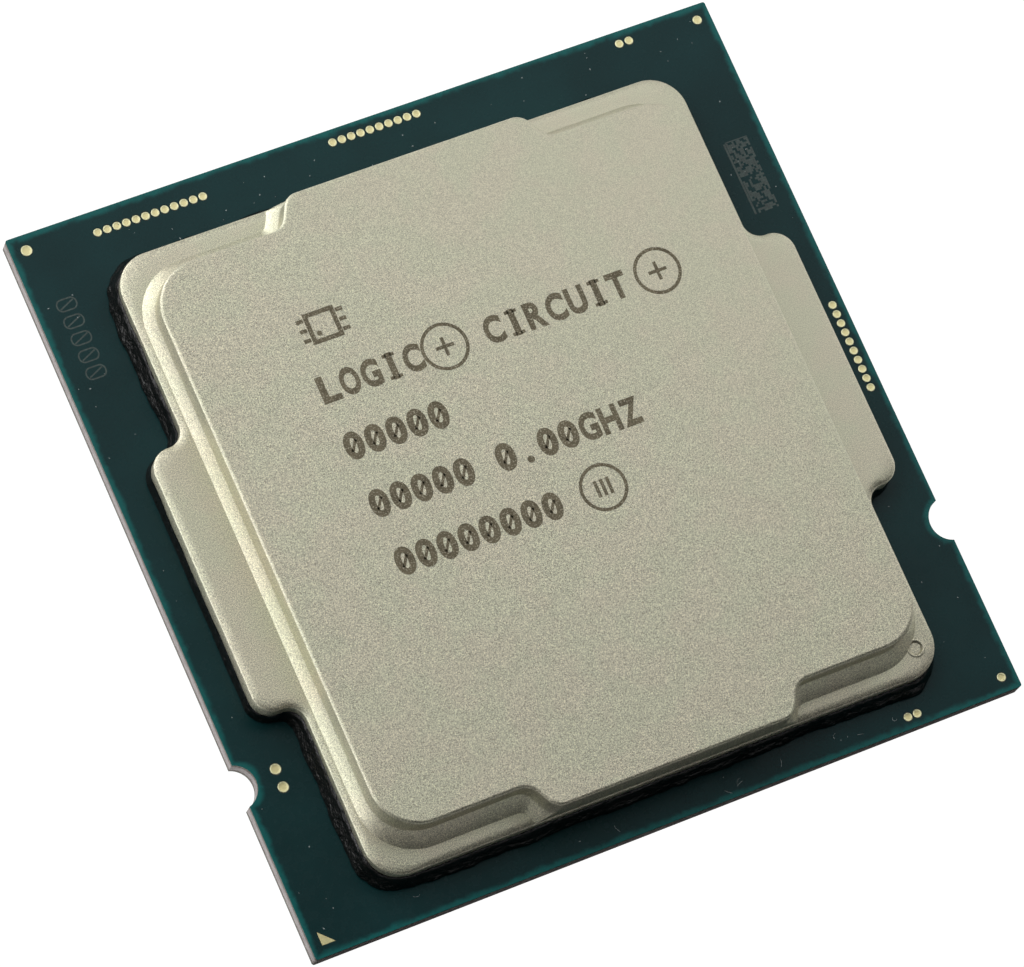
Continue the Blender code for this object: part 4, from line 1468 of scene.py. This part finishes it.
@dataclass
class GoldPads:
    """The gold pads on the upper side: rows, separate round ones and the pin one triangle."""

    package: Package
    rows: tuple[str, ...] = ("pad_row_back_left", "pad_row_back_middle", "pad_column_right")
    rounds: tuple[str, ...] = (
        "corner_pad_back_left",
        "corner_pad_back_right",
        "corner_pad_front_right",
        "test_pad_back_inner",
        "test_pad_back_outer",
        "test_pad_left_rear",
        "test_pad_left_front",
        "test_pad_front_inner",
        "test_pad_front_outer",
    )
    triangle: str = "pin_one_mark"
    pitch: float = 0.5 * MM
    row_radius: float = 0.205 * MM
    rim: float = 0.055 * MM
    dish: float = 0.006 * MM
    sides: int = 28
    openings: list[Outline] = field(default_factory=list)

    def pad_form(self, x: float, y: float, radius: float, low: float, high: float) -> bmesh.types.BMesh:
        """Make one dished pad with a raised rim.

        Args:
            x: Centre on X.
            y: Centre on Y.
            radius: Its radius.
            low: Height of its underside.
            high: Height of its rim.

        Returns:
            The pad's form, with its rim attribute.
        """
        profile = [
            (radius, low),
            (radius, high - self.dish),
            (radius - 0.25 * self.rim, high),
            (radius - 0.70 * self.rim, high),
            (radius - 1.30 * self.rim, high - self.dish),
            (0.30 * radius, high - 1.2 * self.dish),
        ]
        form = turned(profile, self.sides, x, y)
        # The rim attribute, 0 in the middle and 1 at the rim, places the gold's painted highlight.
        layer = form.verts.layers.float.new("rim")
        for vert in form.verts:
            reach = math.hypot(vert.co.x - x, vert.co.y - y)
            vert[layer] = min(max((reach - radius + 1.6 * self.rim) / (1.1 * self.rim), 0.0), 1.0)
        shade(form, 50.0)
        return form

    def finished(self, name: str, mesh: bpy.types.Mesh, node: str) -> bpy.types.Object:
        """Dress a pad's mesh and tie it to its node."""
        mesh.materials.clear()
        mesh.materials.append(GOLD.material())
        return add_piece(name, mesh, "gold", node)

    def build_row(self, node: str, tree: RepeatBench) -> bpy.types.Object:
        """Make a row of pads along the longer side of its node's box."""
        low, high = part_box(node)
        first = Vector((low.x + self.row_radius, low.y + self.row_radius, 0.0))
        last = Vector((high.x - self.row_radius, high.y - self.row_radius, 0.0))
        count = round((last - first).length / self.pitch) + 1
        step = (last - first) / (count - 1)
        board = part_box("top_solder_mask")
        shape = mesh_of(self.pad_form(0.0, 0.0, self.row_radius, board[0].z, board[1].z - 0.002 * MM))
        for index in range(count):
            spot = first + step * index
            self.openings.append(self.opening(spot.x, spot.y, self.row_radius))
        mesh = tree.grow(shape, Count=count, First=first, Step=step)
        return self.finished(f"gold_{node}", mesh, node)

    def opening(self, x: float, y: float, radius: float) -> Outline:
        """The mask's opening round a pad."""
        return circle_outline(x, y, radius + self.package.opening, self.package.pad_sides)

    def build_round(self, node: str) -> bpy.types.Object:
        """Make a separate round pad."""
        low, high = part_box(node)
        x, y, radius = (low.x + high.x) / 2, (low.y + high.y) / 2, (high.x - low.x) / 2
        self.openings.append(self.opening(x, y, radius))
        return self.finished(f"gold_{node}", mesh_of(self.pad_form(x, y, radius, low.z, high.z - 0.002 * MM)), node)

    def build_triangle(self) -> bpy.types.Object:
        """Make the right-angled triangle in the pin one corner."""
        low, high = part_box(self.triangle)
        grow = self.package.opening / 2
        self.openings.append(
            [
                (low.x - grow, low.y - grow),
                (high.x + grow * (1 + math.sqrt(2)), low.y - grow),
                (low.x - grow, high.y + grow * (1 + math.sqrt(2))),
            ]
        )
        corners = [(low.x, low.y), (high.x, low.y), (low.x, high.y)]
        form = flat_solid([corners], low.z, high.z - 0.003 * MM)
        return self.finished("gold_pin_one_mark", mesh_of(form), self.triangle)

    def build(self) -> None:
        """Make every pad and note the openings that the mask needs."""
        tree = row_tree(GOLD)
        for node in self.rows:
            self.build_row(node, tree)
        for node in self.rounds:
            self.build_round(node)
        self.build_triangle()


@dataclass
class Underside:
    """The lands and the capacitors under the package."""

    package: Package
    pitch: float = 0.9144 * MM
    land_half_x: float = 0.30 * MM
    land_half_y: float = 0.36 * MM
    land_radius: float = 0.16 * MM
    land_height: float = 0.008 * MM
    corner_reach: float = 34.2 * MM
    capacitor_pitch: tuple[float, float] = (3.4 * MM, 3.6 * MM)
    terminal: float = 0.24 * MM

    def build_lands(self) -> bpy.types.Object:
        """Fill the four land fields."""
        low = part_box("bottom_solder_mask")[0]
        back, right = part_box("land_field_back"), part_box("land_field_right")
        foot = low.z - self.land_height
        levels = [
            (rectangle_outline(self.land_half_x * 0.94, self.land_half_y * 0.94, self.land_radius * 0.9, 3), foot),
            (rectangle_outline(self.land_half_x, self.land_half_y, self.land_radius, 3), foot + 0.004 * MM),
            (rectangle_outline(self.land_half_x, self.land_half_y, self.land_radius, 3), low.z + 0.01 * MM),
        ]
        form = loft(levels)
        shade(form)
        notch_half = self.package.notch_radius + 0.55 * MM
        mesh = land_tree(GOLD).grow(
            mesh_of(form),
            Columns=2 * int((right[1].x + self.pitch / 2) / self.pitch),
            Rows=2 * int((back[1].y + self.pitch / 2) / self.pitch),
            Pitch_X=self.pitch,
            Pitch_Y=self.pitch,
            Window_X=right[0].x,
            Window_Y=back[0].y,
            Corner_Reach=self.corner_reach,
            Notch_X=self.package.half_side - self.package.notch_depth - 0.75 * MM,
            Notch_Y=self.package.notch_y,
            Notch_Half=notch_half,
        )
        nodes = [f"land_field_{side}" for side in ("front", "back", "left", "right")]
        return add_piece("contact_lands", mesh, "gold", *nodes)

    def capacitor_form(self, low: Vector, high: Vector) -> bmesh.types.BMesh:
        """Make one capacitor at the origin: a ceramic body with a wrapped metal terminal at each end.

        Args:
            low: Lowest corner of its node.
            high: Highest corner of its node.

        Returns:
            The capacitor's form, with its metal attribute.
        """
        half_x, half_y = (high.x - low.x) / 2, (high.y - low.y) / 2
        skin = 0.012 * MM
        body = self.brick(-half_x + skin, half_x - skin, half_y - skin, low.z + skin, high.z - skin, 0)
        ends = []
        for side in (-1, 1):
            inner, outer = side * (half_x - self.terminal), side * half_x
            ends.append(self.brick(min(inner, outer), max(inner, outer), half_y, low.z, high.z, 1))
        return joined([body, *ends])

    @staticmethod
    def brick(low_x: float, high_x: float, half_y: float, low_z: float, high_z: float, metal: int) -> bmesh.types.BMesh:
        """Make a block with rounded edges, centred on Y.

        Args:
            low_x: Its lower end on X.
            high_x: Its upper end on X.
            half_y: Half its width.
            low_z: Its underside.
            high_z: Its upper side.
            metal: 1 where it is metal, or else 0.

        Returns:
            The block's form.
        """
        form = bmesh.new()
        middle = Matrix.Translation(((low_x + high_x) / 2, 0.0, (low_z + high_z) / 2))
        size = Matrix.Diagonal((high_x - low_x, 2 * half_y, high_z - low_z, 1.0))
        bmesh.ops.create_cube(form, size=1.0, matrix=middle @ size)
        bmesh.ops.bevel(
            form, geom=form.edges[:], offset=0.04 * MM, segments=2, profile=0.5, affect="EDGES", clamp_overlap=True
        )
        layer = form.faces.layers.bool.new("metal")
        for face in form.faces:
            face[layer] = bool(metal)
            face.smooth = True
        return form

    def build_capacitors(self) -> bpy.types.Object:
        """Repeat the capacitor over its grid."""
        nodes = sorted(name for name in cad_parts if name.startswith("land_capacitor_"))
        low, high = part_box(nodes[0])
        columns = sum(1 for name in nodes if abs(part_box(name)[0].y - low.y) < 0.1 * MM)
        mesh = grid_tree(CERAMIC, TIN).grow(
            mesh_of(self.capacitor_form(low, high)),
            Columns=columns,
            Rows=len(nodes) // columns,
            Pitch_X=self.capacitor_pitch[0],
            Pitch_Y=self.capacitor_pitch[1],
        )
        return add_piece("land_capacitors", mesh, "ceramic", *nodes)


@dataclass
class BoardMarks:
    """Marks on the upper mask: a run of slashed zeros, and a generic pattern of square modules."""

    digit_height: float = 1.05 * MM
    digit_width: float = 0.66 * MM
    digit_pitch: float = 0.9 * MM
    digit_x: float = -17.2 * MM
    digit_y: float = 14.8 * MM
    digit_count: int = 5
    stroke: float = 0.07 * MM
    code_x: float = 17.2 * MM
    code_y: float = 9.6 * MM
    code_cell: float = 0.11 * MM
    code_columns: int = 11
    code_rows: int = 35
    code_empty_share: float = 0.36
    code_seed: int = 11
    ink: float = 0.004 * MM
    proud: float = 0.001 * MM

    def build_digits(self) -> bpy.types.Object:
        """Make the zeros, which read along the left edge."""
        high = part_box("top_solder_mask")[1].z + self.proud
        low = high - self.ink
        forms = []
        for index in range(self.digit_count):
            y = self.digit_y - index * self.digit_pitch
            forms.append(flat_solid([self.zero(y, 0.0), self.zero(y, -self.stroke)], low, high))
            forms.append(self.slash(y, low, high))
        return add_piece("board_digits", painted(joined(forms), INK), "solder_mask")

    def zero(self, y: float, grow: float) -> Outline:
        """A zero's outline, lying on its side."""
        half_x, half_y = self.digit_height / 2 + grow, self.digit_width / 2 + grow
        outline = rectangle_outline(half_x, half_y, self.digit_width * 0.46 + grow, 8, y)
        return [(x + self.digit_x, y) for x, y in outline]

    def slash(self, y: float, low: float, high: float) -> bmesh.types.BMesh:
        """The zero's slash."""
        form = bmesh.new()
        bmesh.ops.create_cube(form, size=1.0)
        turn = Matrix.Rotation(math.radians(24.0), 4, "Z")
        size = Matrix.Diagonal((self.digit_height * 0.78, self.stroke, high - low, 1.0))
        form.transform(Matrix.Translation((self.digit_x, y, (low + high) / 2)) @ turn @ size)
        return form

    def build_code(self) -> bpy.types.Object:
        """Make the module pattern with its pale frame."""
        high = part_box("top_solder_mask")[1].z + self.proud
        half = self.code_cell * 0.48
        form = bmesh.new()
        bmesh.ops.create_cube(form, size=1.0, matrix=Matrix.Diagonal((2 * half, 2 * half, self.ink, 1.0)))
        mesh = code_tree(INK).grow(
            mesh_of(form),
            Columns=self.code_columns,
            Rows=self.code_rows,
            Pitch_X=self.code_cell,
            Pitch_Y=self.code_cell,
            Empty_Share=self.code_empty_share,
            Seed=self.code_seed,
        )
        form = bmesh.new()
        form.from_mesh(mesh)
        wide, tall = self.code_columns * self.code_cell, self.code_rows * self.code_cell
        bars = [(-wide / 2 - 0.07 * MM, 0.0, 0.1 * MM, tall), (0.0, tall / 2 + 0.04 * MM, wide, 0.05 * MM)]
        for x, y, size_x, size_y in bars:
            place = Matrix.Translation((x, y, 0.0)) @ Matrix.Diagonal((size_x, size_y, self.ink, 1.0))
            bmesh.ops.create_cube(form, size=1.0, matrix=place)
        for face in form.faces:
            face.material_index = 0
        mesh = painted(form, INK)
        mesh.transform(Matrix.Translation((self.code_x, self.code_y, high - self.ink / 2)))
        return add_piece("board_code", mesh, "solder_mask")


@dataclass
class Dust:
    """Fine lint on the board, as specks and a few short fibres."""

    lid: HeatSpreader
    cell: float = 0.75 * MM
    edge_margin: float = 0.4 * MM
    lid_margin: float = 0.35 * MM
    per_square_metre: float = 300000.0
    speck: float = 0.035 * MM
    seed: int = 5
    fibres: int = 9

    def speck_form(self) -> bmesh.types.BMesh:
        """An uneven speck with a few faces."""
        chance = random.Random(self.seed)
        form = bmesh.new()
        bmesh.ops.create_icosphere(form, subdivisions=1, radius=self.speck)
        for vert in form.verts:
            vert.co *= chance.uniform(0.6, 1.15)
            vert.co.z *= 0.5
        return form

    def fibre_form(self, chance: random.Random, height: float, half: float) -> bmesh.types.BMesh:
        """A short curved fibre that lies on the board.

        Args:
            chance: The source of random numbers.
            height: The board's height.
            half: Half the board's side.

        Returns:
            The fibre's form, a thin closed tube.
        """
        radius = 0.008 * MM
        side = chance.choice((-1, 1))
        spot = Vector((side * chance.uniform(15.9, 18.2) * MM, chance.uniform(-half, half), height + radius))
        if chance.random() < 0.5:
            spot = Vector((chance.uniform(-half, half), -chance.uniform(17.4, 18.3) * MM, height + radius))
        heading, bend = chance.uniform(0.0, 2 * math.pi), chance.uniform(-0.5, 0.5)
        rings = []
        for _ in range(9):
            along = Vector((math.cos(heading), math.sin(heading), 0.0))
            across = Vector((-along.y, along.x, 0.0))
            turns = [2 * math.pi * corner / 5 for corner in range(5)]
            rings.append([spot + across * radius * math.cos(t) + Vector((0, 0, radius * math.sin(t))) for t in turns])
            spot = spot + along * chance.uniform(0.03, 0.07) * MM
            heading += bend
        form = skinned(rings)
        bmesh.ops.recalc_face_normals(form, faces=form.faces)
        return form

    def build(self) -> bpy.types.Object:
        """Scatter the specks and lay the fibres."""
        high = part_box("top_solder_mask")[1]
        half = high.x - self.edge_margin
        count = int(2 * half / self.cell)
        margin = self.lid_margin
        specks = dust_tree(LINT).grow(
            mesh_of(self.speck_form()),
            Columns=count,
            Rows=count,
            Pitch_X=2 * half / (count - 1),
            Pitch_Y=2 * half / (count - 1),
            Seed=self.seed,
            Lid_X=self.lid.flange_half_x + margin,
            Lid_Y=self.lid.middle_y,
            Lid_Half=self.lid.flange_half_y + margin,
            Ear_X=self.lid.ear_half_x + margin / 2,
            Ear_Half=self.lid.ear_half_y + margin,
            Density=self.per_square_metre,
            Lift=(0.0, 0.0, high.z + self.speck * 0.3),
        )
        chance = random.Random(self.seed + 1)
        form = joined(self.fibre_form(chance, high.z, half) for _ in range(self.fibres))
        form.from_mesh(specks)
        return add_piece("dust", painted(form, LINT), "solder_mask")


# --------------------------------------------------------------------------------------------
# The studio
# --------------------------------------------------------------------------------------------


@dataclass(frozen=True)
class Softbox:
    """A flat panel light that faces the processor, set by its radiance and not by its watts."""

    name: str
    direction: tuple[float, float, float]
    distance: float
    width: float
    height: float
    radiance: float
    colour: Colour = (1.0, 1.0, 1.0)

    def build(self, aim: Vector) -> None:
        """Hang the panel and turn it towards a point."""
        light = bpy.data.lights.new(self.name, "AREA")
        light.shape = "RECTANGLE"
        light.size, light.size_y = self.width, self.height
        light.energy = math.pi * self.radiance * self.width * self.height
        light.color = self.colour
        panel = bpy.data.objects.new(self.name, light)
        outward = Vector(self.direction).normalized()
        panel.location = aim + outward * self.distance
        panel.rotation_mode = "QUATERNION"
        panel.rotation_quaternion = outward.to_track_quat("Z", "Y")
        panel.visible_camera = False
        bpy.context.scene.collection.objects.link(panel)


@dataclass
class Studio:
    """Pale floor, soft panels, a light sky with a white horizon, and the camera."""

    aim: tuple[float, float, float] = (-0.60 * MM, -0.78 * MM, 1.36 * MM)
    distance: float = 288.28 * MM
    azimuth: float = -55.742
    elevation: float = 67.933
    roll: float = 33.569
    lens: float = 212.98
    floor_half: float = 8.0
    floor_light: float = 1.0
    sky_dim: float = 0.05
    # The sky's rises from front to rear, from right to left and far right: where each starts and ends, and its light.
    sky_depth: tuple[float, float] = (-0.07, 0.23)
    sky_width: tuple[float, float, float, float] = (0.20, -0.30, 0.26, 2.5)
    sky_right: tuple[float, float, float] = (0.38, 0.65, 0.50)
    # How high the white horizon fades into the sky, by rise.
    horizon: tuple[float, float] = (0.05, 0.12)
    # The dimmer belt round the sky: where it begins and ends, by rise, and its share of light.
    sky_belt: tuple[tuple[float, float], tuple[float, float], float] = ((0.20, 0.36), (0.66, 0.84), 0.25)
    # The leaning dark screen in front: its lower and its upper edge, as (y, z).
    screen: tuple[tuple[float, float], ...] = ((-60 * MM, 10 * MM), (-18 * MM, 80 * MM))
    floor_card: tuple[tuple[float, float], ...] = ((-60 * MM, 0.15 * MM), (-18.5 * MM, 0.15 * MM))
    card_half_width: float = 120 * MM
    panels: tuple[Softbox, ...] = (
        Softbox("panel_top", (0.30, 0.48, 0.82), 0.19, 0.24, 0.13, 0.62),
        Softbox("panel_left", (-0.96, 0.14, 0.22), 0.26, 0.20, 0.11, 2.0),
        Softbox("panel_rear", (-0.46, 0.84, 0.30), 0.26, 0.17, 0.11, 3.0),
        Softbox("panel_right", (0.85, 0.18, 0.50), 0.26, 0.34, 0.14, 0.6),
    )

    def build_camera(self) -> None:
        """Set the camera round its aim by azimuth, elevation and roll."""
        data = bpy.data.cameras.new("camera")
        data.lens = self.lens
        data.clip_start, data.clip_end = 0.01, 100.0
        camera = bpy.data.objects.new("camera", data)
        azimuth, elevation = math.radians(self.azimuth), math.radians(self.elevation)
        level = math.cos(elevation)
        back = Vector((math.sin(azimuth) * level, -math.cos(azimuth) * level, math.sin(elevation)))
        upright = back.to_track_quat("Z", "Y").to_matrix().to_4x4()
        turn = Matrix.Rotation(math.radians(self.roll), 4, "Z")
        camera.matrix_world = Matrix.Translation(Vector(self.aim) + back * self.distance) @ upright @ turn
        bpy.context.scene.collection.objects.link(camera)
        bpy.context.scene.camera = camera

    def build_floor(self) -> None:
        """Lay the pale floor on the plane that the package's underside stands on."""
        form = bmesh.new()
        bmesh.ops.create_grid(form, x_segments=1, y_segments=1, size=self.floor_half)
        floor = bpy.data.objects.new("floor", mesh_of(form, "floor"))
        bench = PaintBench("floor_paint")
        clouds = bench.grains(60 * MM, 0.2)
        bench.set(Base_Color=bench.mix(clouds, (0.10, 0.10, 0.10), (0.12, 0.12, 0.12)), Roughness=0.9)
        bench.set(Emission_Color=(1.0, 1.0, 1.0), Emission_Strength=self.floor_light)
        floor.data.materials.append(bench.material)
        bpy.context.scene.collection.objects.link(floor)

    def build_card(self, name: str, edges: Sequence[tuple[float, float]], shade_of_grey: float) -> None:
        """Set up a card in front, hidden from the camera, so that the front walls stay dark.

        Args:
            name: The card's name.
            edges: Its lower and its upper edge, as (y, z).
            shade_of_grey: Its colour.
        """
        low, high = (Vector((0.0, *edge)) for edge in edges)
        run = high - low
        form = bmesh.new()
        place = Matrix.Translation((low + high) / 2) @ Matrix.Rotation(math.atan2(run.z, run.y), 4, "X")
        size = Matrix.Diagonal((2 * self.card_half_width, run.length, 0.2 * MM, 1.0))
        bmesh.ops.create_cube(form, size=1.0, matrix=place @ size)
        card = bpy.data.objects.new(name, mesh_of(form, name))
        card.data.materials.append(Grained(f"{name}_paint", (shade_of_grey,) * 3, 0.9, grain=MM).material())
        card.visible_camera = False
        bpy.context.scene.collection.objects.link(card)

    def build_sky(self) -> None:
        """Make a soft sky: bright at the rear left, dim in front and in a belt, and white at the horizon."""
        world = bpy.data.worlds.new("studio_sky")
        world.use_nodes = True
        bench = NodeBench(world.node_tree)
        direction = bench.add("ShaderNodeTexCoord").outputs["Generated"]
        x, y, rise = bench.add("ShaderNodeSeparateXYZ", {0: direction}).outputs
        across = bench.spread(x, *self.sky_width)
        light = bench.calc("MULTIPLY_ADD", bench.spread(y, *self.sky_depth), across, self.sky_dim)
        start, end, size = self.sky_right
        light = bench.calc("ADD", light, bench.spread(x, start, end, 0.0, size))
        lower, upper, share = self.sky_belt
        belt = bench.calc("MAXIMUM", bench.spread(rise, *lower, 1.0, share), bench.spread(rise, *upper, share, 1.0))
        light = bench.calc("MULTIPLY", light, belt)
        light = bench.spread(rise, *self.horizon, 1.0, light)
        background = world.node_tree.nodes["Background"]
        bench.feed(background.inputs["Strength"], light)
        background.inputs["Color"].default_value = (1.0, 1.0, 1.0, 1.0)
        bpy.context.scene.world = world

    def build(self) -> None:
        """Set up the whole studio."""
        self.build_camera()
        self.build_floor()
        self.build_card("dark_screen", self.screen, 0.012)
        self.build_card("grey_card", self.floor_card, 0.15)
        self.build_sky()
        for panel in self.panels:
            panel.build(Vector(self.aim))
        view = bpy.context.scene.view_settings
        view.view_transform = "Standard"
        view.look = "None"
        LOG.info("studio: %d panels", len(self.panels))


def main() -> None:
    """Build the processor and the studio, in order."""
    logging.basicConfig(level=logging.INFO, format="%(name)s: %(message)s")
    lid = HeatSpreader()
    package = Package()
    pads = GoldPads(package)
    underside = Underside(package)
    marks = BoardMarks()
    lid.build()
    SealantBead(lid).build()
    LidMarking(lid).build()
    pads.build()
    package.build_mask("top_solder_mask", "upper_mask", pads.openings)
    package.build_mask("bottom_solder_mask", "lower_mask", [])
    package.dress_layers()
    underside.build_lands()
    underside.build_capacitors()
    marks.build_digits()
    marks.build_code()
    Dust(lid).build()
    Studio().build()


if __name__ == "__main__":
    main()
